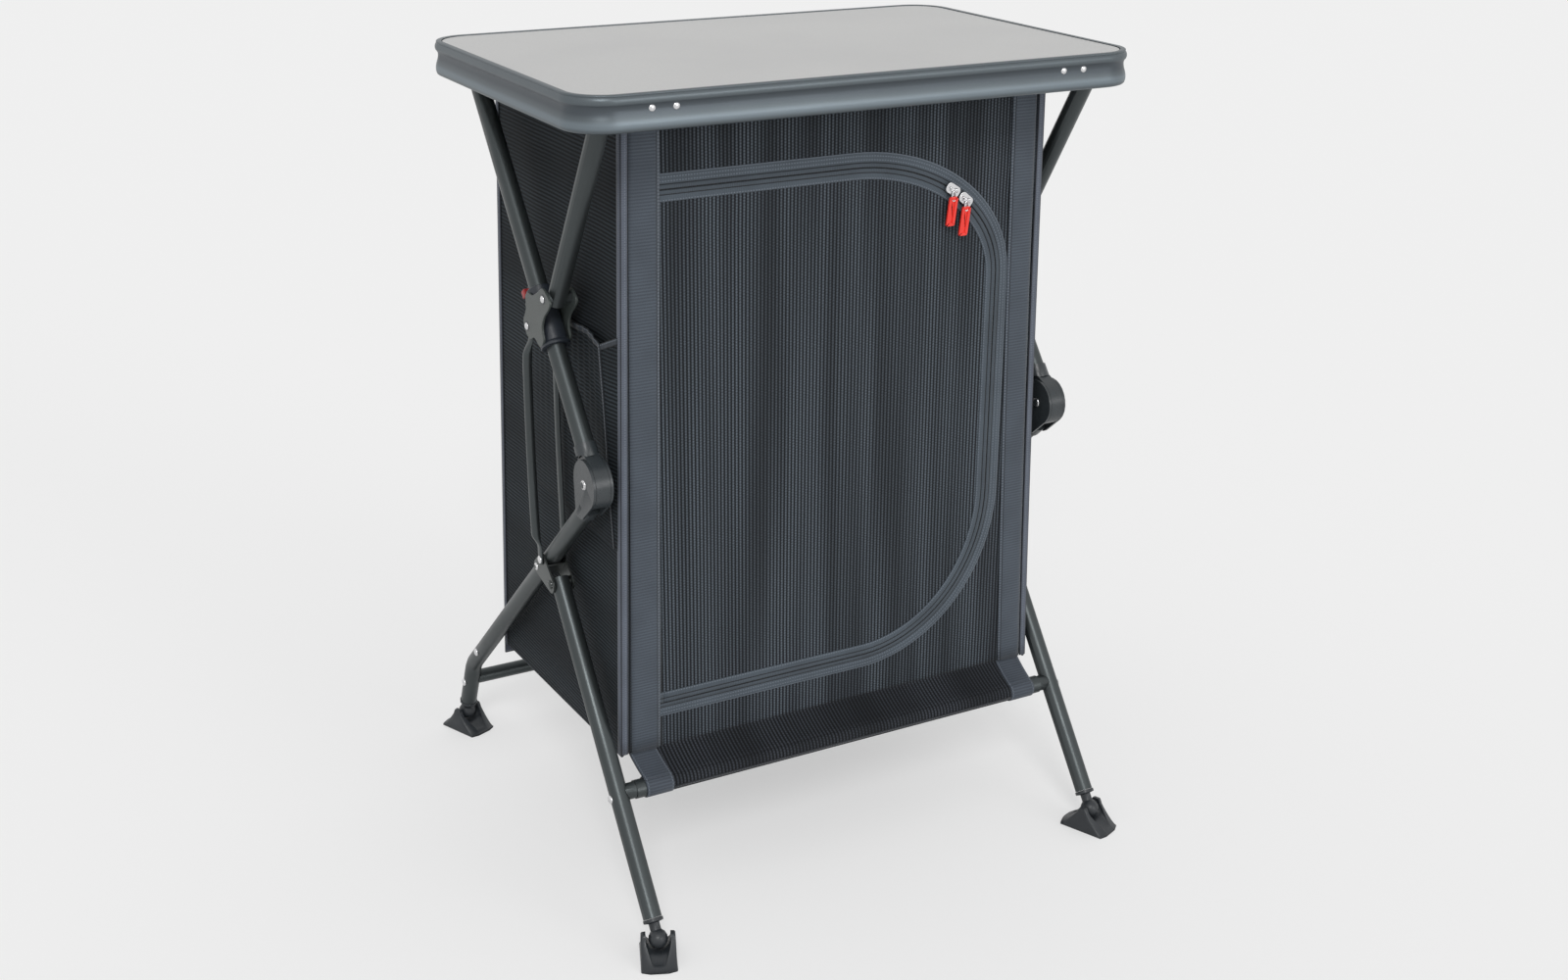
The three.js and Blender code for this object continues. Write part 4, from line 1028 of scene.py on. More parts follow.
    def joined_rings(self, name: str, form: bmesh.types.BMesh, rings: Sequence[Any]) -> Piece:
        """Joins rings of vertices into one closed piece.

        Args:
            name: Its name.
            form: The mesh that holds the rings.
            rings: The rings' vertices, in order.

        Returns:
            The piece.
        """
        for pair in zip(rings, rings[1:]):
            edges = {edge for part in pair for vert in part for edge in vert.link_edges}
            flat = [edge for edge in edges if any(all(vert in part for vert in edge.verts) for part in pair)]
            bmesh.ops.bridge_loops(form, edges=flat)
        bmesh.ops.holes_fill(form, edges=form.edges, sides=0)
        bmesh.ops.recalc_face_normals(form, faces=form.faces)
        return hold(name, form, 50.0)

    def plate(self, name: str, outline: Sequence[Vector], through: Vector, bevel: float = 0.8) -> Piece:
        """Makes a plate from an outline.

        Args:
            name: Its name.
            outline: The points round one face.
            through: The way and distance to the other face.
            bevel: The softened edge's width, in millimetres.

        Returns:
            The plate.
        """
        form = bmesh.new()
        slab(form, outline, through)
        bmesh.ops.recalc_face_normals(form, faces=form.faces)
        return hold(name, form, 40.0, bevel)


@dataclass
class Cabinet:
    """The cloth cabinet's sizes, in millimetres, and the places on its skin."""

    top: float = 963.3
    hem: float = 191.0
    back_hem: float = 180.0
    back_drop: float = 16.0
    front: float = -151.0
    back_top: float = 204.0
    back_bottom: float = 221.0
    half_top: float = 270.0
    half_bottom: float = 288.0
    right_sag: float = 2.6
    shelf: float = 582.0
    cloth_recess: float = 0.9
    thickness: float = 1.0
    bar: Pair = (-182.5222, 162.2821)
    sleeve_radius: float = 11.6
    sleeve_reach: float = 274.0
    skirt_reach: float = 277.0

    def fall(self, z: float) -> float:
        """Gives how far down the cabinet a height is.

        Args:
            z: The height.

        Returns:
            0 at the top and 1 at the front hem.
        """
        return (self.top - z) / (self.top - self.hem)

    def half(self, sign: int, z: float) -> float:
        """Gives the cabinet's half width at a height; the right side bows in a little.

        Args:
            sign: 1 for the right side and -1 for the left.
            z: The height.

        Returns:
            The half width.
        """
        share = self.fall(z)
        bow = self.right_sag * math.sin(math.pi * share) ** 0.8 if sign > 0 and 0 < share < 1 else 0.0
        return self.half_top + (self.half_bottom - self.half_top) * share - bow

    def back(self, z: float) -> float:
        """Gives where the back is at a height.

        Args:
            z: The height.

        Returns:
            The distance behind the table's middle.
        """
        share = (self.top - z) / (self.top - self.back_hem)
        return self.back_top + (self.back_bottom - self.back_top) * share

    def floor(self, y: float) -> float:
        """Gives the bottom hem's height at a distance.

        Args:
            y: The distance behind the table's middle.

        Returns:
            The height.
        """
        return self.hem + (self.back_hem - self.hem) * (y - self.front) / (self.back_bottom - self.front)


@dataclass
class Door:
    """The door's outline in the front cloth, in millimetres."""

    left: float = -232.0
    right: float = 212.0
    top: float = 857.0
    bottom: float = 248.0
    upper: Pair = (200.0, 145.0)
    lower: Pair = (175.0, 190.0)

    def reach(self, z: float) -> float:
        """Gives how far right the door goes at a height.

        Args:
            z: The height.

        Returns:
            The distance to the right.
        """
        for (across, rise), past in ((self.upper, z - self.top), (self.lower, self.bottom - z)):
            if past > -rise:
                share = min(1.0, (past + rise) / rise)
                return self.right - across * (1 - math.sqrt(1 - share * share))
        return self.right

    def heights(self) -> list[float]:
        """Gives heights that follow the outline well.

        Returns:
            Heights from the bottom to the top.
        """
        low, high = self.lower[1], self.upper[1]
        turns = [math.sin(math.radians(angle)) for angle in range(0, 91, 5)]
        lower = [self.bottom + low * (1 - turn) for turn in reversed(turns)]
        upper = [self.top - high * (1 - turn) for turn in turns]
        return lower + steps(self.bottom + low, self.top - high, 24)[1:-1] + upper

    def outline(self, start: float) -> list[Pair]:
        """Gives the zip's line, from the top left round to the bottom left.

        Args:
            start: How far left it starts and ends.

        Returns:
            Points on the front.
        """
        (wide, high), (broad, low) = self.upper, self.lower
        turns = [math.radians(angle) for angle in range(4, 91, 4)]
        return [
            *((x, self.top) for x in steps(start, self.right - wide, 24)),
            *((self.right - wide * (1 - math.sin(t)), self.top - high * (1 - math.cos(t))) for t in turns),
            *((self.right, z) for z in steps(self.top - high, self.bottom + low, 24)[1:]),
            *((self.right - broad * (1 - math.cos(t)), self.bottom + low * (1 - math.sin(t))) for t in turns),
            *((x, self.bottom) for x in steps(self.right - broad, start, 24)[1:]),
        ]


TEETH_SECTION = ((6.3, 0.1), (5.7, -0.3), (5.1, 0.2), (4.0, 0.85), (2.2, 0.9), (0.9, 0.7), (0.3, 0.1), (0.12, -0.5))
OUTER_SECTION = ((17.5, -0.5), (17.1, 0.0), (14.0, 0.1), (8.0, 0.15), *TEETH_SECTION)
INNER_SECTION = (
    (-13.5, -0.5), (-13.1, 0.0), (-10.0, 0.1), (-7.2, 0.15), *((-across, proud) for across, proud in TEETH_SECTION)
)
REVERSE_SECTION = ((-13.5, -2.2), (-13.1, -2.9), (-7.2, -3.0), (-0.9, -2.9), (-0.5, -2.2))
CORNER_SECTION = (
    (-9.2, -0.5), (-8.4, -1.3), (-5.0, -1.5), (-1.2, -1.4), (0.3, -0.6), (0.9, 1.0), (1.0, 3.5), (0.9, 6.5), (0.2, 7.5)
)


@dataclass
class ClothFront:
    """The front cloth, its door, the zip round it, and the tapes sewn on."""

    shop: Workshop
    skin: Cabinet
    door: Door
    wave: float = 0.8
    zip_calm: float = 30.0
    webbing: dict[int, float] = field(default_factory=lambda: {-1: 36.5, 1: 33.0})
    webbing_gap: dict[int, Pair] = field(default_factory=lambda: {-1: (8.5, 14.0), 1: (12.0, 10.0)})
    tape_out: float = 17.5
    hinge_lap: float = 14.0

    def calm(self, x: float, z: float) -> float:
        """Gives how freely the cloth waves at a place: not at all beside the zip.

        Args:
            x: Across.
            z: The height.

        Returns:
            From 0 to 1.
        """
        door, skin = self.door, self.skin
        away = min(abs(z - door.top), abs(z - door.bottom))
        if door.bottom <= z <= door.top:
            away = min(away, abs(x - door.reach(z)))
        edge = math.sin(math.pi * skin.fall(z)) ** 0.5 if skin.hem < z < skin.top else 0.0
        return clamp((away - self.tape_out) / self.zip_calm) * edge

    def on_cloth(self, x: float, z: float) -> Mark:
        """Gives a place on the front cloth, which waves a little behind the front plane.

        Args:
            x: Across.
            z: The height.

        Returns:
            The point and its place in the cut.
        """
        narrow = swell(x + 15 * math.sin(z / 130), 94.0)
        broad = 0.5 + 0.5 * math.sin(x / 61.0 + z / 170.0)
        depth = self.skin.cloth_recess + self.wave * (narrow + 0.6 * broad) * self.calm(x, z)
        return spot(x, self.skin.front + depth, z), (x * MM, z * MM)

    def ring_target(self, x: float, z: float) -> Pair:
        """Gives where the cloth ends, straight out from a point of the zip's line.

        Args:
            x: Across.
            z: The height.

        Returns:
            A point on the cloth's outer edge.
        """
        door, skin = self.door, self.skin
        (wide, high), (broad, low) = door.upper, door.lower
        top, bottom = skin.top, skin.hem
        if x <= door.right - wide and z > door.top - 1:
            return x, top
        if z > door.top - high:
            share = math.degrees(math.acos(min(1.0, (z - door.top + high) / high))) / 90
            if share < 0.5:
                return door.right - wide + (skin.half(1, top) - door.right + wide) * share * 2, top
            z = top - (top - door.top + high) * (share - 0.5) * 2
            return skin.half(1, z), z
        if z >= door.bottom + low:
            return skin.half(1, z), z
        share = math.degrees(math.asin(min(1.0, (door.bottom + low - z) / low))) / 90
        if x <= door.right - broad + 0.01 and share > 0.99:
            return x, bottom
        if share < 0.5:
            z = door.bottom + low + (bottom - door.bottom - low) * share * 2
            return skin.half(1, z), z
        return skin.half(1, bottom) + (door.right - broad - skin.half(1, bottom)) * (share - 0.5) * 2, bottom

    def area(self) -> float:
        """Gives the fixed cloth's flat area.

        Returns:
            Square metres.
        """
        line = self.door.outline(self.door.left)
        return flat_area(line + [self.ring_target(*point) for point in reversed(line)])

    def leaf_area(self) -> float:
        """Gives the door's flat area.

        Returns:
            Square metres.
        """
        door = self.door
        edge = [(door.reach(z), z) for z in door.heights()]
        return flat_area([*edge, (door.left, door.top), (door.left, door.bottom)])

    def zip_half(
        self,
        name: str,
        body: str,
        section: Sequence[Pair],
        finish: Finish,
        line: Sequence[Pair],
        replaces: Sequence[str] = (),
        outward: Vector = AHEAD,
    ) -> Piece:
        """Sweeps one half of the zip along a line.

        Args:
            name: Its name.
            body: The body that it rides on.
            section: Its section: the distance out from the line, and how far it stands proud.
            finish: Its finish.
            line: The line.
            replaces: The frame's nodes that it stands for.
            outward: The side that it shows.

        Returns:
            The half.
        """
        length = [0.0]
        for here, there in zip(line, line[1:]):
            length.append(length[-1] + math.dist(here, there))

        def surface(number: float, place: float) -> Mark:
            index = round(place)
            out, proud = section[round(number)]
            before, after = line[max(0, index - 1)], line[min(len(line) - 1, index + 1)]
            run = Vector((after[0] - before[0], after[1] - before[1])).normalized()
            x, z = line[index][0] - run.y * out, line[index][1] + run.x * out
            return spot(x, self.skin.front - proud, z), (out * MM, length[index] * MM)

        return self.shop.weave(
            name, range(len(section)), range(len(line)), surface, outward, 0.7, finish, body, replaces, slot=Slot.TAPE
        )

    def strip(
        self, name: str, profile: Callable[[float], Sequence[Pair]], finish: Finish, outward: Vector = AHEAD
    ) -> Piece:
        """Makes an upright strip of tape, from the top to the hem.

        Args:
            name: Its name.
            profile: Gives its section at a height: across and back from the table's middle.
            finish: Its finish.
            outward: The side that it shows.

        Returns:
            The strip.
        """
        heights = steps(self.skin.top - 1, self.skin.hem + 1, 40)

        def surface(number: float, z: float) -> Mark:
            section = profile(z)
            index = round(number)
            run = sum(math.dist(*pair) for pair in zip(section[:index], section[1:]))
            return spot(*section[index], z), (run * MM, z * MM)

        return self.shop.weave(name, range(len(profile(heights[0]))), heights, surface, outward, 0.8, finish)

    def build(self) -> None:
        """Makes the whole front."""
        shop, skin, door = self.shop, self.skin, self.door
        line = door.outline(door.left)

        def around(share: float, number: float) -> Mark:
            x, z = line[round(number)]
            end_x, end_z = self.ring_target(x, z)
            return self.on_cloth(x + (end_x - x) * share, z + (end_z - z) * share)

        def within(share: float, z: float) -> Mark:
            return self.on_cloth(door.left + (door.reach(z) - door.left) * share, z)

        fixed = shop.weave(
            "front_cloth", steps(0, 1, 14), range(len(line)), around, AHEAD, skin.thickness, MESH,
            replaces=["front_panel"],
        )
        leaf = shop.weave(
            "door_cloth", steps(0, 1, 60), door.heights(), within, AHEAD, skin.thickness, MESH, "door", ["door_panel"]
        )
        under = door.left - self.hinge_lap
        zip_outer = self.zip_half("zip_outer_tape", "table", OUTER_SECTION, OUTER_TAPE, door.outline(under))
        zip_inner = self.zip_half("zip_inner_tape", "door", INNER_SECTION, INNER_TAPE, line, ["door_zip"])
        zip_back = self.zip_half(
            "zip_inner_reverse", "door", REVERSE_SECTION, INNER_TAPE, door.outline(door.left + 1.0), outward=BEHIND
        )
        end_line = [(x, door.bottom) for x in steps(door.left - 0.2, under, 2)]
        zip_end = self.zip_half("zip_inner_end", "table", INNER_SECTION, INNER_TAPE, end_line)
        for side, sign in SIDES:

            def band(z: float, sign: int = sign) -> list[Pair]:
                high, low = self.webbing_gap[sign]
                edge = skin.half(sign, z) - high - (low - high) * skin.fall(z)
                spread = steps(edge - self.webbing[sign], edge, 6)
                return [(sign * x, skin.front - lifted(index, 6, 1.9, 0.9)) for index, x in enumerate(spread)]

            def corner(z: float, sign: int = sign) -> list[Pair]:
                return [(sign * (skin.half(sign, z) + out), skin.front + back) for out, back in CORNER_SECTION]

            self.strip(f"front_webbing_{side}", band, WEBBING)
            self.strip(f"corner_binding_{side}", corner, CORNER, Vector((sign, -1, 0)))

        def hinge(z: float) -> list[Pair]:
            return [(x, skin.front + 0.6) for x in steps(-skin.half(-1, z), door.left - 0.3, 4)]

        edge = self.strip("door_hinge_cloth", hinge, MESH)
        self.area()
        self.leaf_area()


@dataclass
class ClothHem:
    """The skirt below the front, and the sleeve that holds the front crossbar."""

    shop: Workshop
    skin: Cabinet
    webbing: float = 35.0
    flap: float = 6.0
    seam_width: float = 4.3

    def normal(self, run: Vector) -> Vector:
        """Gives the upward direction square to a run.

        Args:
            run: The run, back and up.

        Returns:
            The direction.
        """
        up = Vector((run.y, -run.x))
        return -up if up.y < 0 else up

    def tangent(self) -> Vector:
        """Gives where the skirt meets the sleeve.

        Returns:
            Back and up.
        """
        centre, radius = Vector(self.skin.bar), self.skin.sleeve_radius
        run = centre - Vector((self.skin.front + 0.6, self.skin.hem))
        lean = math.asin(radius / run.length)
        run.normalize()
        return centre + radius * (math.cos(lean) * self.normal(run) - math.sin(lean) * run)

    def skirt_point(self, share: float, proud: float) -> Vector:
        """Gives a place down the skirt.

        Args:
            share: 0 at the hem and 1 at the sleeve, or below 0 on the flap behind the front cloth.
            proud: How far it stands off the cloth.

        Returns:
            Back and up.
        """
        if share < 0:
            return Vector((self.skin.front + 2.6 - proud, self.skin.hem + self.flap))
        start = Vector((self.skin.front + 0.6, self.skin.hem))
        run = self.tangent() - start
        return start + run * share + self.normal(run.normalized()) * (proud - 1.2 * math.sin(math.pi * share))

    def build(self) -> None:
        """Makes the skirt, the sleeve, the seam and the webbing over them."""
        shop, skin = self.shop, self.skin
        touch = self.tangent()
        length = (touch - Vector((skin.front, skin.hem))).length
        facing = Vector((0, -0.6, 0.8))
        centre_y, centre_z = skin.bar
        first = math.atan2(touch.y - centre_z, touch.x - centre_y)

        def reach(share: float) -> float:
            return skin.skirt_reach + (skin.sleeve_reach - skin.skirt_reach) * share

        def skirt(x_share: float, share: float) -> Mark:
            x = x_share * reach(share)
            return spot(x, *self.skirt_point(share, 0.0)), (x * MM, (skin.hem - length * share) * MM)

        def round_bar(x: float, turn: float, radius: float) -> Vector:
            angle = first + turn
            return spot(x, centre_y + radius * math.cos(angle), centre_z + radius * math.sin(angle))

        def sleeve(x: float, turn: float) -> Mark:
            return round_bar(x, turn, skin.sleeve_radius), (x * MM, turn * skin.sleeve_radius * MM)

        def away(point: Vector) -> Vector:
            middle = spot(0, centre_y, centre_z)
            return Vector((0, point.y - middle.y, point.z - middle.z)).normalized()

        def seam(x: float, share: float) -> Mark:
            radius = skin.sleeve_radius + lifted(share, 1.0, 0.5, 0.1)
            return round_bar(x, 1.25 + 0.36 * share, radius), (share * self.seam_width * MM, x * MM)

        cloth = shop.weave(
            "skirt_cloth", steps(-1, 1, 60), [-0.1, *steps(0, 1, 10)], skirt, facing, skin.thickness, SKIRT_MESH
        )
        turns = steps(-0.05, math.tau - 0.12, 30)
        tube = shop.weave(
            "bar_sleeve", steps(-skin.sleeve_reach, skin.sleeve_reach, 40), turns, sleeve, away, 0.9, SKIRT_MESH,
            "front_legs", ["crossbar_sleeve"], False,
        )
        end = skin.sleeve_reach - self.webbing
        line = shop.weave(
            "sleeve_seam", steps(-end, end, 30), lips(1.0, 0.03), seam, away, 0.8, SEAM, "front_legs", soft=False
        )
        for side, sign in SIDES:

            def band(across: float, share: float, sign: int = sign) -> Mark:
                x = sign * (reach(share) - self.webbing * across)
                place = self.skirt_point(share, lifted(across, 1.0, 1.2, 0.2))
                return spot(x, *place), (across * self.webbing * MM, length * share * MM)

            def wrap(across: float, turn: float, sign: int = sign) -> Mark:
                x = sign * (skin.sleeve_reach + 0.5 - self.webbing * across)
                place = round_bar(x, turn, skin.sleeve_radius + lifted(across, 1.0, 1.1, 0.2))
                return place, (across * self.webbing * MM, turn * skin.sleeve_radius * MM)

            across = lips(1.0, 0.03)
            shop.weave(f"skirt_webbing_{side}", across, steps(0, 1, 10), band, facing, 0.8, SKIRT_WEB)
            name = f"sleeve_webbing_{side}"
            shop.weave(name, across, turns, wrap, away, 0.9, SKIRT_WEB, "front_legs", soft=False)


@dataclass
class Pocket:
    """The gathered pocket on the left side, in millimetres."""

    shop: Workshop
    skin: Cabinet
    high: float = 700.0
    low: float = 450.0
    start: float = -147.0
    length: float = 260.0
    fold: float = 0.125
    fold_drift: float = 24.0
    fold_dip: float = 15.0
    front_dip: float = 4.0
    rear_rise: float = 9.0
    standing_off: float = 0.8
    slack: float = 2.0
    bulge: float = 5.5
    bulge_width: float = 34.0
    gather: float = 0.6
    gather_pitch: float = 17.0
    cut_depth: float = 244.0
    elastic: float = 8.0
    seam: float = 4.0

    def surface(self, share: float, fall: float) -> Mark:
        """Gives a place on the pocket's cloth.

        Args:
            share: 0 at the front edge and 1 at the rear edge.
            fall: 0 at the top and 1 at the lower edge.

        Returns:
            The point and its place in the cut.
        """
        slack = (1 - fall) ** 0.8
        corner = self.start + self.length * self.fold - self.fold_drift * fall
        if share < self.fold:
            bulge = share / self.fold
            y, dip = self.start + (corner - self.start) * bulge, self.fold_dip * bulge
        else:
            along = (share - self.fold) / (1 - self.fold)
            y = corner + (self.start + self.length - corner) * along
            dip = self.fold_dip - self.front_dip * math.sin(math.pi * min(1.0, 3 * along)) - self.rear_rise * along
            bulge = math.exp(-((y - corner) / self.bulge_width) ** 2)
        z = self.high + (self.low - self.high) * fall - dip * (1 - fall) ** 2
        full = math.sqrt(max(0.0, math.sin(math.pi * share)))
        ripple = self.gather * slack * math.sin(2 * math.pi * y / self.gather_pitch) * full
        loose = slack * (self.slack * full + self.bulge * bulge) + ripple + 0.5 * full
        return spot(-(self.skin.half(-1, z) + self.standing_off + loose), y, z), (z * MM, y * MM)

    def build(self) -> None:
        """Makes the pocket's cloth, its elastic and the seam at its fold."""
        shop = self.shop

        def top(share: float, run: float) -> Mark:
            point, _ = self.surface(share, run / self.cut_depth)
            point.x -= lifted(run, self.elastic, 0.7, 0.1) * MM
            return point, (run * MM, point.y)

        def seam(run: float, fall: float) -> Mark:
            point, _ = self.surface(self.fold + (run - self.seam / 2) / self.length, fall)
            point.x -= lifted(run, self.seam, 1.3, 0.1) * MM
            return point, (run * MM, point.z)

        share, fall = steps(0, 1, 120), steps(0, 1, 20)
        cloth = shop.weave(
            "side_pocket_cloth", share, fall, self.surface, LEFTWARD, 0.9, SIDE_MESH_PAINTED_SHADE, replaces=["side_pocket_left"]
        )
        band = shop.weave("pocket_elastic", share, lips(self.elastic, 0.3), top, LEFTWARD, 0.8, ELASTIC)
        edge = shop.weave("pocket_seam", lips(self.seam, 0.3), fall, seam, LEFTWARD, 0.7, ELASTIC)


@dataclass
class ClothSides:
    """The side and back cloths with their bindings, in millimetres."""

    shop: Workshop
    skin: Cabinet
    sag: float = 2.2
    wave_width: float = 120.0
    back_wave: float = 90.0
    side_run: float = 364.0
    binding: tuple[float, ...] = (0.0, 0.4, 5.0, 9.4, 10.0)
    hem_width: float = 18.0

    def side_point(self, sign: int, share: float, fall: float, proud: float = 0.0) -> Mark:
        """Gives a place on a side cloth.

        Args:
            sign: 1 for the right and -1 for the left.
            share: 0 at the front edge and 1 at the back edge.
            fall: 0 at the top and 1 at the hem.
            proud: How far it stands off the cloth.

        Returns:
            The point and its place in the cut.
        """
        skin = self.skin
        guess = skin.front + share * (skin.back_bottom - skin.front)
        z = skin.top + (skin.floor(guess) - skin.top) * fall
        y = skin.front + 0.9 + (skin.back(z) - 0.3 - skin.front - 0.9) * share
        fade = math.sin(math.pi * fall) * min(1.0, abs(z - skin.shelf) / 80.0)
        x = skin.half(sign, z) - self.sag * fade * swell(y - skin.front, self.wave_width) + proud
        return spot(sign * x, y, z), (z * MM, y * MM)

    def side(self, name: str, sign: int) -> None:
        """Makes a side cloth with its bindings and piping.

        Args:
            name: Left or right.
            sign: 1 for the right and -1 for the left.
        """
        shop, look = self.shop, Vector((sign, 0, 0))

        def surface(share: float, fall: float) -> Mark:
            return self.side_point(sign, share, fall)

        def edge(run: float, fall: float) -> Mark:
            proud = lifted(run, self.binding[-1], 1.4, 0.3)
            point, _ = self.side_point(sign, 1 - run / self.side_run, fall, proud)
            return point, (run * MM, point.z)

        cloth = shop.weave(
            f"side_cloth_{name}", steps(0, 1, 48), steps(0, 1, 30), surface, look, self.skin.thickness, SIDE_MESH_PAINTED_SHADE,
            replaces=[f"side_panel_{name}"],
        )
        rear = shop.weave(f"rear_binding_{name}", self.binding, steps(0, 1, 30), edge, look, 0.9, EDGING)
        hem = [self.side_point(sign, share, 1.0, -2.2)[0] for share in steps(0.0, 1.0, 16)]
        piping = shop.rod(f"hem_piping_{name}", hem, 2.2, 10)
        shop.settle(piping, "table", PIPING, Slot.CLOTH, soft=True)

    def back(self) -> None:
        """Makes the back cloth and the hem that hangs below the floor board."""
        shop, skin = self.shop, self.skin
        low = skin.back_hem - skin.back_drop

        def surface(share: float, z: float) -> Mark:
            x = share * skin.half(1 if share > 0 else -1, z)
            dip = self.sag * math.sin(math.pi * clamp(skin.fall(z))) * swell(x + 270, self.back_wave)
            return spot(x, skin.back(z) + 1.6 + dip * 0.7, z), (x * MM, z * MM)

        def hem(high: float, flat: float) -> Surface:
            def place(share: float, drop: float) -> Mark:
                point, _ = surface(share, low + drop)
                point.y += lifted(drop, self.hem_width, high, flat) * MM
                return point, (drop * MM, point.x)

            return place

        width, drops = steps(-1, 1, 72), lips(self.hem_width, 0.4)
        cloth = shop.weave(
            "back_cloth", width, steps(skin.top, low, 30), surface, BEHIND, 1.0, SIDE_MESH_PAINTED_SHADE, replaces=["back_panel"]
        )
        band = shop.weave("back_hem_band", width, drops, hem(1.2, 0.3), BEHIND, 0.9, BACK_HEM)
        inner = shop.weave("back_hem_inner", width, drops, hem(-2.4, -1.4), AHEAD, 0.9, BACK_HEM)

    def build(self) -> None:
        """Makes both sides, the back and the pocket."""
        for name, sign in SIDES:
            self.side(name, sign)
        self.back()
        Pocket(self.shop, self.skin).build()


@dataclass
class ZipPulls:
    """The two zip sliders and the red tabs that hang from them, in millimetres."""

    shop: Workshop
    door: Door
    body: Pair = (20.0, 12.5)
    tab: Pair = (11.5, 34.0)
    drop: float = 6.0
    lean: float = 7.0
    thickness: float = 2.4
    slot_rim: float = 3.6
    slot_bevel: float = 0.3
    slot_depth: float = 1.3
    bail: Pair = (2.6, 5.6)
    plate: float = 1.6
    plate_corner: float = 4.6
    pinch: float = 0.16
    arch: Pair = (6.2, 2.8)

    def rounded(self, wide: float, high: float, radius: float) -> list[Pair]:
        """Gives a rounded rectangle about its middle.

        Args:
            wide: Its width.
            high: Its height.
            radius: Its corners' radius.

        Returns:
            The points.
        """
        points = []
        for corner, (side, end) in enumerate(((1, 1), (-1, 1), (-1, -1), (1, -1))):
            for part in range(5):
                turn = math.radians(90 * corner + 22.5 * part)
                across = side * (wide / 2 - radius) + radius * math.cos(turn)
                points.append((across, end * (high / 2 - radius) + radius * math.sin(turn)))
        return points

    def slider(self, name: str) -> None:
        """Makes a slider's body and the arch that holds its tab.

        Args:
            name: Upper or lower.
        """
        node = f"zip_slider_{name}"
        self.shop.carry(node, BRIGHT, Slot.BRIGHT)
        low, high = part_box(node)
        middle = Vector(((low.x + high.x) / 2 / MM, (low.z + high.z) / 2 / MM))
        face = high.y / MM + SHIFT_BACK - 2.4
        wide, rise = self.door.upper
        turn = math.acos(min(1.0, max(-1.0, 1 - (self.door.right - middle.x) / wide)))
        run = Vector((-wide * math.sin(turn), rise * math.cos(turn))).normalized()
        side = Vector((run.y, -run.x))
        outline, route = [], []
        for along, across in self.rounded(*self.body, self.plate_corner):
            waist = 1.0 - self.pinch * math.exp(-((along / 3.0) ** 2))
            place = middle + run * along + side * across * waist
            outline.append(spot(place.x, face, place.y))
        for turn in steps(0.0, math.pi, 12):
            place = middle + run * self.arch[0] * math.cos(turn)
            route.append(spot(place.x, face - 1.4 - self.arch[1] * math.sin(turn), place.y))
        plate = self.shop.plate(f"slider_plate_{name}", outline, AHEAD * self.plate * MM, 0.5)
        self.shop.settle(plate, "zip_sliders", BRIGHT, Slot.BRIGHT)
        arch = self.shop.rod(f"slider_arch_{name}", route, 1.0, 10)
        self.shop.settle(arch, "zip_sliders", BRIGHT, Slot.BRIGHT)

    def pull(self, name: str) -> None:
        """Makes a tab: a leaning plate with a sunk slot.

        Args:
            name: Upper or lower.
        """
        node = f"pull_tab_{name}"
        low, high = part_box(node)
        x, top, back = (low.x + high.x) / 2 / MM, high.z / MM, high.y / MM + SHIFT_BACK
        wide, long = self.tab
        lean = math.tan(math.radians(self.lean))
        outline = []
        for across, rise in self.rounded(wide, long, 2.2):
            down = rise - long / 2
            outline.append(spot(x + across + down * lean, back, top - self.drop + down))
        form = bmesh.new()
        front = slab(form, outline, AHEAD * self.thickness * MM)
        for rim in (self.slot_rim, self.slot_bevel):
            bmesh.ops.inset_region(form, faces=front, thickness=rim * MM, depth=0.0)
        sunk = {vert for face in front for vert in face.verts}
        bmesh.ops.translate(form, verts=list(sunk), vec=(0, self.slot_depth * MM, 0))
        bmesh.ops.recalc_face_normals(form, faces=form.faces)
        self.shop.settle(hold(f"red_tab_{name}", form, 40.0, 0.35), node, RED, Slot.RED, [node])
        half, hang = self.bail
        loop = [
            spot(x + half * math.sin(turn), back - self.thickness / 2, top - hang + hang * math.cos(turn))
            for turn in steps(0.0, math.tau, 24)
        ]
        self.shop.settle(self.shop.rod(f"tab_bail_{name}", loop, 0.9, 8), node, BRIGHT, Slot.BRIGHT)

    def build(self) -> None:
        """Makes both sliders and both tabs."""
        for name in ("upper", "lower"):
            self.slider(name)
            self.pull(name)


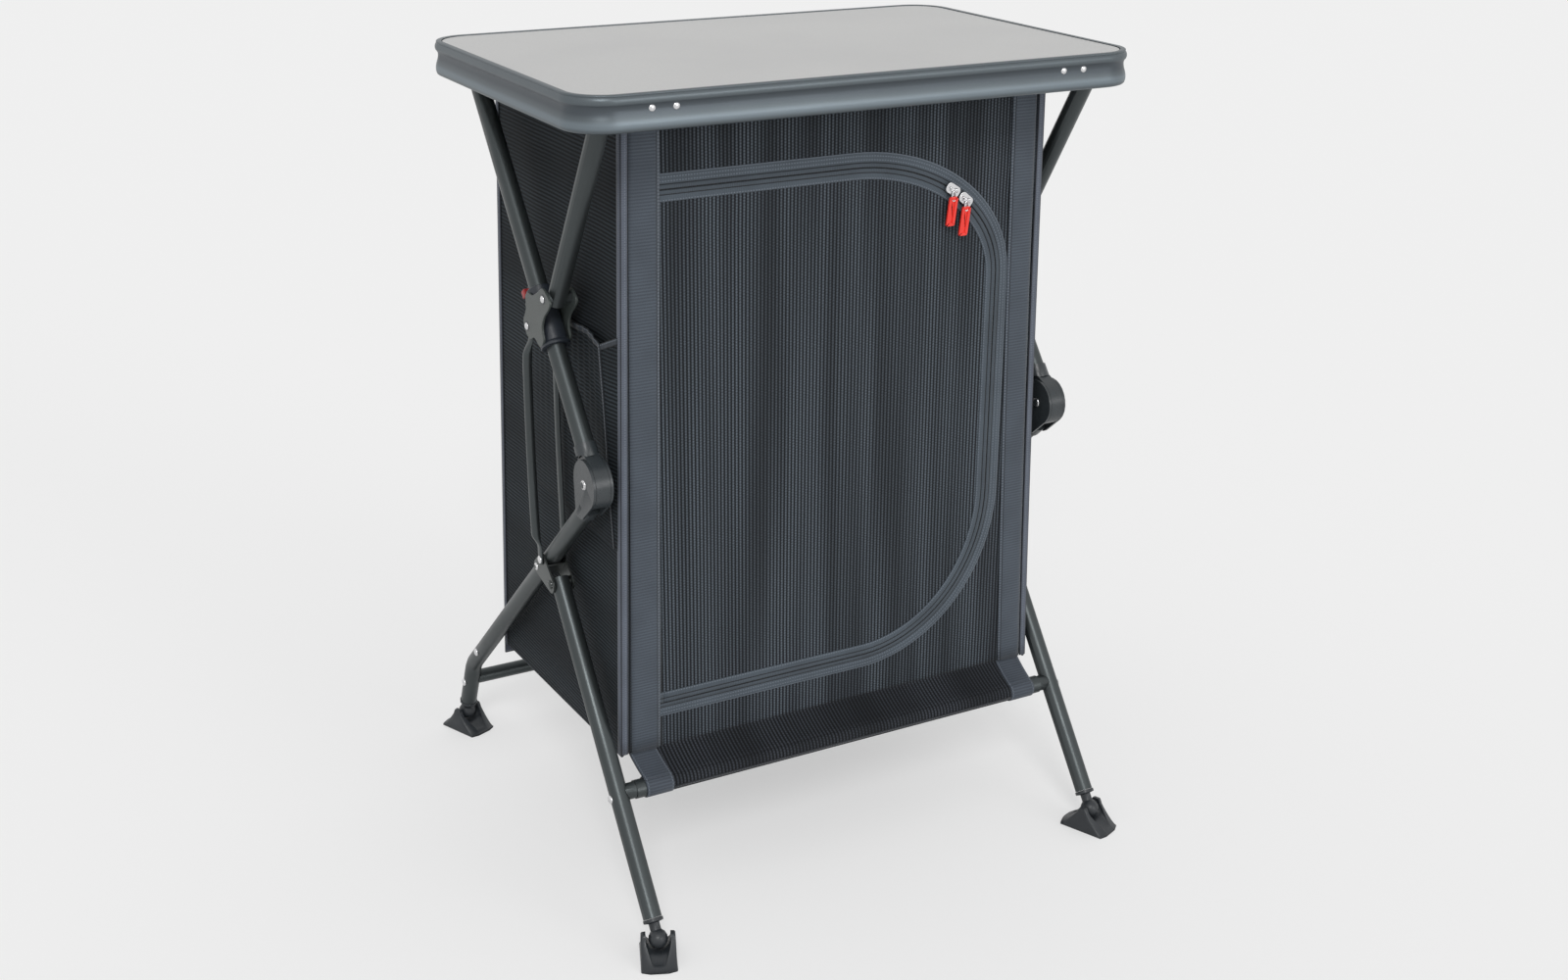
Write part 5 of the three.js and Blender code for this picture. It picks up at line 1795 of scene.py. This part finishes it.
@dataclass
class SlidingHub:
    """The hub on a strut: a collar between two star-shaped cheeks, with its red lock trigger."""

    shop: Workshop
    centre: Pair = (-15.7916, 697.1486)
    slide: Pair = (-0.62019, -0.784452)
    cheek_inner: float = 14.3
    cheek_outer: float = 17.3
    star: tuple[Pair, ...] = (
        (11, 36.0), (21, 52.0), (27, 60.0), (39, 56.0), (51, 50.0), (62, 34.0), (87, 23.5), (115, 26.0), (137, 26.5),
        (163, 19.0), (187, 22.0), (205, 31.0), (230, 33.5), (252, 32.0), (279, 26.0), (294, 33.0), (305, 39.0),
        (325, 38.0), (336, 31.0), (352, 29.0),
    )
    collar: tuple[Pair, ...] = (
        (11.3, -30.0), (14.6, -30.0), (15.4, -29.2), (15.4, 36.0), (16.4, 37.4), (17.2, 38.6), (17.2, 40.6),
        (16.6, 41.4), (11.3, 41.4),
    )
    bridge: tuple[Pair, Pair, Pair] = ((-15.0, 15.0), (-22.0, 12.0), (11.6, 18.0))
    trigger: tuple[Pair, Pair, Pair] = ((3.0, 13.8), (-38.5, -29.0), (13.4, 22.5))
    block_edge: float = 1.6

    def at(self, sign: int, out: float, along: float, across: float) -> Vector:
        """Gives a place on a hub.

        Args:
            sign: 1 for the right side and -1 for the left.
            out: How far it is outside the frame's plane.
            along: How far down the strut it is.
            across: How far it is on the rear side of the strut.

        Returns:
            The point.
        """
        down_y, down_z = self.slide
        y = self.centre[0] + down_y * along - down_z * across
        z = self.centre[1] + down_z * along + down_y * across
        return spot(sign * (FRAME_PLANE + out), y, z)

    def outline(self, sign: int, out: float) -> list[Vector]:
        """Gives the cheek's outline, smooth through the star's points.

        Args:
            sign: 1 for the right side and -1 for the left.
            out: How far it is outside the frame's plane.

        Returns:
            The points.
        """
        corners = []
        for angle, reach in self.star:
            turn = math.radians(angle)
            corners.append(Vector((self.centre[0] - reach * math.cos(turn), self.centre[1] + reach * math.sin(turn))))
        points = []
        for index in range(len(corners)):
            before, here, there, after = (corners[(index + step) % len(corners)] for step in (-1, 0, 1, 2))
            for part in (0.0, 0.25, 0.5, 0.75):
                rise = 0.5 * (2 * here + (there - before) * part)
                rise += 0.5 * (2 * before - 5 * here + 4 * there - after) * part**2
                rise += 0.5 * (3 * here - before - 3 * there + after) * part**3
                points.append(spot(sign * (FRAME_PLANE + out), *rise))
        return points

    def block(self, name: str, sign: int, outs: Pair, along: Pair, across: Pair) -> Piece:
        """Makes a block in the hub.

        Args:
            name: Its name.
            sign: 1 for the right side and -1 for the left.
            outs: From how far to how far outside the frame's plane.
            along: From where to where down the strut.
            across: From where to where on the rear side of the strut.

        Returns:
            The block.
        """
        corners = ((along[0], across[0]), (along[1], across[0]), (along[1], across[1]), (along[0], across[1]))
        base = [self.at(sign, outs[0], *corner) for corner in corners]
        return self.shop.plate(name, base, Vector((sign * (outs[1] - outs[0]) * MM, 0, 0)), self.block_edge)

    def build(self) -> None:
        """Makes both hubs with their triggers."""
        shop = self.shop
        for side, sign in SIDES:
            body, lock = f"sliding_hub_{side}", f"lock_button_{side}"
            centre = self.at(sign, 0.0, 0.0, 0.0)
            collar = shop.turned(f"hub_collar_{side}", self.collar, centre, Vector((0, *self.slide)))
            shop.settle(collar, body, COLLAR_PAINTED_SHADE, Slot.MOULDING, [f"hub_{side}"])
            for face, way in FACES:
                thick = Vector((sign * way * (self.cheek_outer - self.cheek_inner) * MM, 0, 0))
                cheek = shop.plate(f"hub_cheek_{side}_{face}", self.outline(sign, way * self.cheek_inner), thick)
                shop.settle(cheek, body, MOULDING, Slot.MOULDING)
            bridge = self.block(f"hub_bridge_{side}", sign, *self.bridge)
            shop.settle(bridge, body, MOULDING, Slot.MOULDING)
            trigger = self.block(f"lock_trigger_{side}", sign, *self.trigger)
            shop.settle(trigger, lock, TRIGGER, Slot.RED, [lock])


@dataclass
class FootPad:
    """A saddle-shaped pad under a leg's ball, in millimetres."""

    shop: Workshop
    length: float = 68.0
    width: float = 42.0
    end_sag: float = 5.0
    ear: float = 33.5
    shoulder: float = 29.0
    lip: float = 3.0
    well: float = 13.0
    yaw: float = 22.5
    balls: tuple[tuple[str, float, int], ...] = (("front", -284.4742, -1), ("rear", 342.3613, 1))

    def crest(self, share: float) -> float:
        """Gives the saddle's height at a share of its half length.

        Args:
            share: 0 in the middle and 1 at an end.

        Returns:
            The height.
        """
        slope = self.lip + (self.shoulder - self.lip) * (max(0.0, 1 - share) / 0.82) ** 1.35
        return self.ear + (min(self.shoulder, slope) - self.ear) * ease(clamp((share - 0.12) / 0.1))

    def section(self, share: float) -> list[Pair]:
        """Gives half of the pad's cross section, from its well round to its sole.

        Args:
            share: 0 in the middle and 1 at an end.

        Returns:
            Points: across and up.
        """
        top, half = self.crest(share), self.width / 2
        fade = clamp((share - 0.3) / 0.5)
        floor = min(top - 0.2, self.well - 6.5 * ease(fade))
        mouth = 14.4 - 7.0 * fade
        return [
            *(
                (mouth * math.sin(turn), floor + (top - floor) * (1 - math.cos(turn)) ** 1.3)
                for turn in steps(0.0, math.pi / 2, 8)
            ),
            (min(mouth + 1.2, half - 3.0), top),
            (half - 2.2, top - 0.3),
            (half - 1.1, top - min(1.6, top * 0.3)),
            (half - 0.6, top * 0.55),
            (half, min(2.4, top * 0.4)),
            (half - 0.2, 0.7),
            (half - 1.0, 0.0),
            (half * 0.5, 0.0),
        ]

    def build(self, side: str, sign: int) -> None:
        """Makes a side's two pads.

        Args:
            side: Left or right.
            sign: 1 for the right and -1 for the left.
        """
        for name, centre, end in self.balls:
            turn = math.radians(-sign * end * self.yaw)
            form, rings = bmesh.new(), []
            for place in steps(-1.0, 1.0, 44):
                half = self.section(abs(place))
                points = []
                for across, up in half + [(-across, up) for across, up in reversed(half[1:])]:
                    run = place * (self.length / 2 - self.end_sag * (2 * across / self.width) ** 2)
                    x = across * math.cos(turn) - run * math.sin(turn)
                    y = across * math.sin(turn) + run * math.cos(turn)
                    points.append(spot(sign * FRAME_PLANE + x, centre + y, up))
                rings.append(ring(form, points))
            piece = self.shop.joined_rings(f"saddle_pad_{name}_{side}", form, rings)
            self.shop.settle(piece, f"{name}_pad_{side}", BLACK, Slot.BLACK, [f"{name}_foot_pad_{side}"])


RIM_SECTION = (
    (8.0, 39.0), (8.0, 27.3), (21.0, 27.3), (21.0, 24.7), (12.0, 24.7), (12.0, 0.6), (11.4, 0.0), (4.5, 0.0),
    (2.6, 0.5), (1.1, 1.8), (0.3, 4.0), (0.0, 6.8), (0.15, 9.6), (0.7, 12.6), (1.6, 15.6), (2.6, 18.6), (3.2, 21.8),
    (3.2, 24.4), (2.7, 26.4), (1.7, 28.0), (0.6, 29.2), (0.05, 31.0), (0.1, 33.2), (0.6, 35.0), (1.5, 36.2),
    (2.0, 36.8), (1.8, 37.3), (1.6, 38.0), (1.8, 38.6), (2.4, 39.0),
)
HUB_LINK, LINK_FOOT = (1.1741, 679.9074), (-3.4906, 392.4404)
RIVETS = (
    ("hub_brace", (-49.8845, 724.0988), 17.3, 4.3, 2.4, "sliding_hub"),
    ("hub_link", HUB_LINK, 17.3, 4.3, 2.4, "sliding_hub"),
    ("knuckle", (-136.7826, 532.8229), 12.0, 5.9, 2.4, ""),
    ("bracket_leg", (-27.9741, 368.8708), 13.3, 5.2, 2.4, ""),
    ("bracket", (14.3337, 376.3689), 13.3, 4.6, 2.4, ""),
    ("link_foot", LINK_FOOT, 15.8, 4.8, 1.8, "links"),
)
RIM_RIVETS = (("outer", 267.3), ("inner", 240.2))
RIM_RIVET_AT = (-224.3, 959.3)
SCREWS = (
    ("front_screw_{}", "front_legs", -184.3, 158.3),
    ("rear_screw_{}_upper", "rear_legs", 258.6, 154.7),
    ("rear_screw_{}_lower", "rear_legs", 315.9, 83.6),
)


@dataclass
class Link:
    """A link of a folding frame: a bowed tube, flattened at its two eyes, in millimetres."""

    shop: Workshop
    eye: float = 6.6
    flat: float = 1.25
    start: float = 14.0
    grow: float = 20.0
    bow: float = 4.0
    base: float = 11.7
    base_rise: float = 1.7
    base_run: float = 30.0
    sides: int = 16

    def sweep(self, name: str, side: str, sign: int, face: int, full: float) -> None:
        """Sweeps one link.

        Args:
            name: The frame's name for it, without its side.
            side: Left or right.
            sign: 1 for the right and -1 for the left.
            face: 1 for the frame's outer face and -1 for its inner face.
            full: Half its thickness between the eyes.
        """
        top = Vector(HUB_LINK)
        run = Vector(LINK_FOOT) - top
        length = run.length
        run.normalize()
        rear = Vector((-run.y, run.x))
        grown = self.start + self.grow
        ends = [-self.eye + 0.1, -6.1, -5.0, -3.0, 0.0, 4.0, *steps(self.start, grown, 8)]
        middle = steps(grown, length - grown, 18)[1:-1]
        form, rings = bmesh.new(), []
        for distance in [*ends, *middle, *(length - place for place in reversed(ends))]:
            near = min(distance, length - distance)
            round_eye = math.sqrt(max(0.2, self.eye**2 - near * near))
            wide = round_eye if near < 0 else self.eye - 0.5 * min(1.0, near / 40)
            half = self.flat + (full - self.flat) * ease(clamp((near - self.start) / self.grow))
            base = self.base + self.base_rise * clamp((distance - self.start) / self.base_run)
            bow = self.bow * math.sin(math.pi * clamp(distance / length))
            points = []
            for number in range(self.sides):
                angle = math.tau * number / self.sides
                place = top + run * distance + rear * (bow + wide * math.sin(angle))
                points.append(spot(sign * (FRAME_PLANE + face * (base + half * (1 + math.cos(angle)))), *place))
            rings.append(ring(form, points))
        piece = self.shop.joined_rings(f"{name}_tube_{side}", form, rings)
        self.shop.settle(piece, f"links_{side}", TUBE, Slot.TUBE, [f"{name}_{side}"])


@dataclass
class Metalwork:
    """The table, the folding frames and their feet, in millimetres."""

    shop: Workshop
    width: float = 700.0
    depth: float = 456.0
    corner: float = 48.0
    rim_foot: float = 936.0
    rim_stations: int = 60
    screw_out: float = 317.0
    link_outer: float = 5.2
    link_inner: float = 2.6

    def rivets(self) -> None:
        """Puts the bright rivet heads on the frames and the rim, with dark discs of painted shade round some of them.
        """
        dome = self.shop.dome
        for name, place, out, radius, height, body in RIVETS:
            for side, sign in SIDES:
                rides = f"{body}_{side}" if body else "rear_legs"
                for face, way in FACES:
                    at, facing = spot(sign * (FRAME_PLANE + way * out), *place), Vector((sign * way, 0, 0))
                    dome(f"rivet_{name}_{side}_{face}", rides, at, facing, radius, height)
                    if body == "sliding_hub":
                        # Painted shade: a flat dark disc round the hub's rivet stands in for the shade of a recess.
                        dome(f"recess_{name}_{side}_{face}", rides, at, facing, radius + 1.7, 0.5, BLACK)
        for side, sign in SIDES:
            for number, x in RIM_RIVETS:
                at = spot(sign * x, *RIM_RIVET_AT)
                dome(f"rim_rivet_{side}_{number}", "table", at, AHEAD, 4.1, 2.2)
                # Painted shade: a flat dark disc round the rim's rivet stands in for the shade of a recess.
                dome(f"rim_recess_{side}_{number}", "table", at, AHEAD, 5.0, 0.6, BLACK)
            for name, body, y, z in SCREWS:
                at, facing = spot(sign * self.screw_out, y, z), Vector((sign, 0, 0))
                dome(name.format(side), body, at, facing, 5.2, 2.4)

    def rim(self) -> None:
        """Sweeps the table's rim round its rounded corners."""
        form = bmesh.new()
        count, quarter = len(RIM_SECTION), self.rim_stations // 4
        bmesh.ops.create_grid(form, x_segments=self.rim_stations, y_segments=count, size=0.5)
        for vertex in form.verts:
            station = round((vertex.co.x + 0.5) * self.rim_stations) % self.rim_stations
            inset, height = RIM_SECTION[round((vertex.co.y + 0.5) * count) % count]
            corner, place = divmod(station, quarter)
            angle = math.radians(90 * corner + 90 * place / (quarter - 1))
            radius = self.corner - inset
            across = (self.width / 2 - self.corner) * (1 if corner in (0, 3) else -1)
            back = (self.depth / 2 - self.corner) * (1 if corner in (0, 1) else -1)
            vertex.co = spot(across + radius * math.cos(angle), back + radius * math.sin(angle), self.rim_foot + height)
        bmesh.ops.remove_doubles(form, verts=form.verts, dist=MERGE)
        bmesh.ops.recalc_face_normals(form, faces=form.faces)
        self.shop.settle(hold("rounded_rim", form, 50.0), "table", RIM, Slot.RIM, ["tabletop_rim"])

    def build(self) -> None:
        """Dresses the frame's own pieces."""
        shop = self.shop
        shop.carry("tabletop_board", BOARD, Slot.BOARD)
        self.rim()
        for side, sign in SIDES:
            for node in ("front_bracket", "rear_bracket", "leg_bracket"):
                shop.carry(f"{node}_{side}", BRACKET, Slot.BRACKET)
            for node in ("front_brace", "rear_strut", "rear_leg", "front_leg"):
                shop.carry(f"{node}_{side}", TUBE, Slot.TUBE, 0.4)
            Link(shop).sweep("outer_link", side, sign, 1, self.link_outer)
            Link(shop).sweep("inner_link", side, sign, -1, self.link_inner)
            for node in ("upper_knuckle", "lower_knuckle"):
                shop.carry(f"{node}_{side}", KNUCKLE, Slot.MOULDING, 0.9)
            for node in ("front_foot_plug", "rear_foot_plug"):
                shop.carry(f"{node}_{side}", BLACK, Slot.BLACK, 0.6)
            FootPad(shop).build(side, sign)
        for node in ("front_crossbar", "rear_crossbar"):
            shop.carry(node, TUBE, Slot.TUBE, 0.4)
        for node in ("floor_panel", "shelf_panel"):
            shop.carry(node, LINING, Slot.LINING, 0.4)
        ZipPulls(shop, Door()).build()
        self.rivets()
        SlidingHub(shop).build()


@dataclass
class Studio:
    """The camera, the pale floor and the soft light."""

    eye: tuple[float, float, float] = (-1.08758, -2.01725, 1.31364)
    yaw: float = 0.5047491544436848
    pitch: float = 0.3750896769262008
    roll: float = 0.00789779937997428
    lens: float = 44.424
    pale: Colour = srgb(243, 243, 243)
    ground: Colour = srgb(250, 250, 250)
    ground_glow: float = 0.5
    floor_size: float = 60.0
    sky: float = 0.62
    suns: tuple[tuple[str, float, float, float, float], ...] = (
        ("key_light", 1.05, -27.0, 40.0, 17.0),
        ("fill_light", 0.62, 22.0, 12.0, 26.0),
    )

    def hang(self, name: str, data: Any, placing: Matrix) -> Piece:
        """Puts a lamp or a camera in the scene.

        Args:
            name: Its name.
            data: The lamp's or camera's data.
            placing: Where it goes.

        Returns:
            The object.
        """
        thing = bpy.data.objects.new(name, data)
        bpy.context.scene.collection.objects.link(thing)
        thing.matrix_world = placing
        return thing

    def camera(self) -> None:
        """Makes the camera at the photograph's viewing angle."""
        level = math.cos(self.pitch)
        heading = Vector((math.sin(self.yaw) * level, math.cos(self.yaw) * level, -math.sin(self.pitch)))
        right = Vector((math.cos(self.yaw), -math.sin(self.yaw), 0))
        up = right.cross(heading)
        across = math.cos(self.roll) * right + math.sin(self.roll) * up
        above = -math.sin(self.roll) * right + math.cos(self.roll) * up
        data = bpy.data.cameras.new("camera")
        data.lens = self.lens
        data.sensor_width = 36.0
        data.sensor_fit = "HORIZONTAL"
        data.clip_end = 200.0
        turn = Matrix((across, above, -heading)).transposed().to_4x4()
        bpy.context.scene.camera = self.hang("camera", data, Matrix.Translation(Vector(self.eye)) @ turn)

    def world(self) -> None:
        """Lights the scene evenly, with a pale backdrop to see and to reflect."""
        world = bpy.data.worlds.new("studio")
        bpy.context.scene.world = world
        world.use_nodes = True
        bench = NodeBench(world.node_tree)
        path = bench.add("LightPath").outputs
        seen = bench.maths("MAXIMUM", path["Is Camera Ray"], path["Is Transmission Ray"])
        seen = bench.maths("MAXIMUM", seen, path["Is Glossy Ray"])
        light = bench.add("Background", {"Color": (1.0, 1.0, 1.0, 1.0), "Strength": self.sky})
        shown = bench.add("Background", {"Color": self.pale, "Strength": 1.0})
        choose = bench.add("MixShader", [seen, light.outputs[0], shown.outputs[0]])
        bench.add("OutputWorld", {"Surface": choose.outputs[0]})

    def lights(self) -> None:
        """Hangs the soft lights."""
        for name, strength, azimuth, height, spread in self.suns:
            data = bpy.data.lights.new(name, "SUN")
            data.energy = strength
            data.angle = math.radians(spread)
            turn, rise = math.radians(azimuth), math.radians(height)
            source = Vector((math.sin(turn) * math.cos(rise), -math.cos(turn) * math.cos(rise), math.sin(rise)))
            self.hang(name, data, source.to_track_quat("Z", "Y").to_matrix().to_4x4())

    def floor(self) -> None:
        """Lays the pale floor."""
        form = bmesh.new()
        bmesh.ops.create_grid(form, x_segments=1, y_segments=1, size=self.floor_size / 2)
        ground = hold("floor", form)
        ground.data.shade_flat()
        bench = MaterialBench("pale floor")
        bench.dress(self.ground, 0.9, specular=0.0)
        seen = bench.times(bench.add("LightPath").outputs["Is Camera Ray"], self.ground_glow)
        glow = bench.add("Emission", {"Color": self.pale})
        shown = bench.add("MixShader", [seen, bench.shader.outputs[0], glow.outputs[0]])
        bench.feed(bench.output.inputs["Surface"], shown.outputs[0])
        ground.data.materials.append(bench.material)

    def build(self) -> None:
        """Makes the camera, the light and the floor."""
        self.camera()
        self.world()
        self.lights()
        self.floor()
        bpy.context.scene.view_settings.view_transform = "Standard"


def main() -> None:
    """Dresses the whole cupboard."""
    logging.basicConfig(level=logging.INFO, format="%(name)s: %(message)s")
    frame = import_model()
    Studio().build()
    shop = Workshop(frame)
    skin = Cabinet()
    Metalwork(shop).build()
    ClothFront(shop, skin, Door()).build()
    ClothHem(shop, skin).build()
    ClothSides(shop, skin).build()


if __name__ == "__main__":
    main()
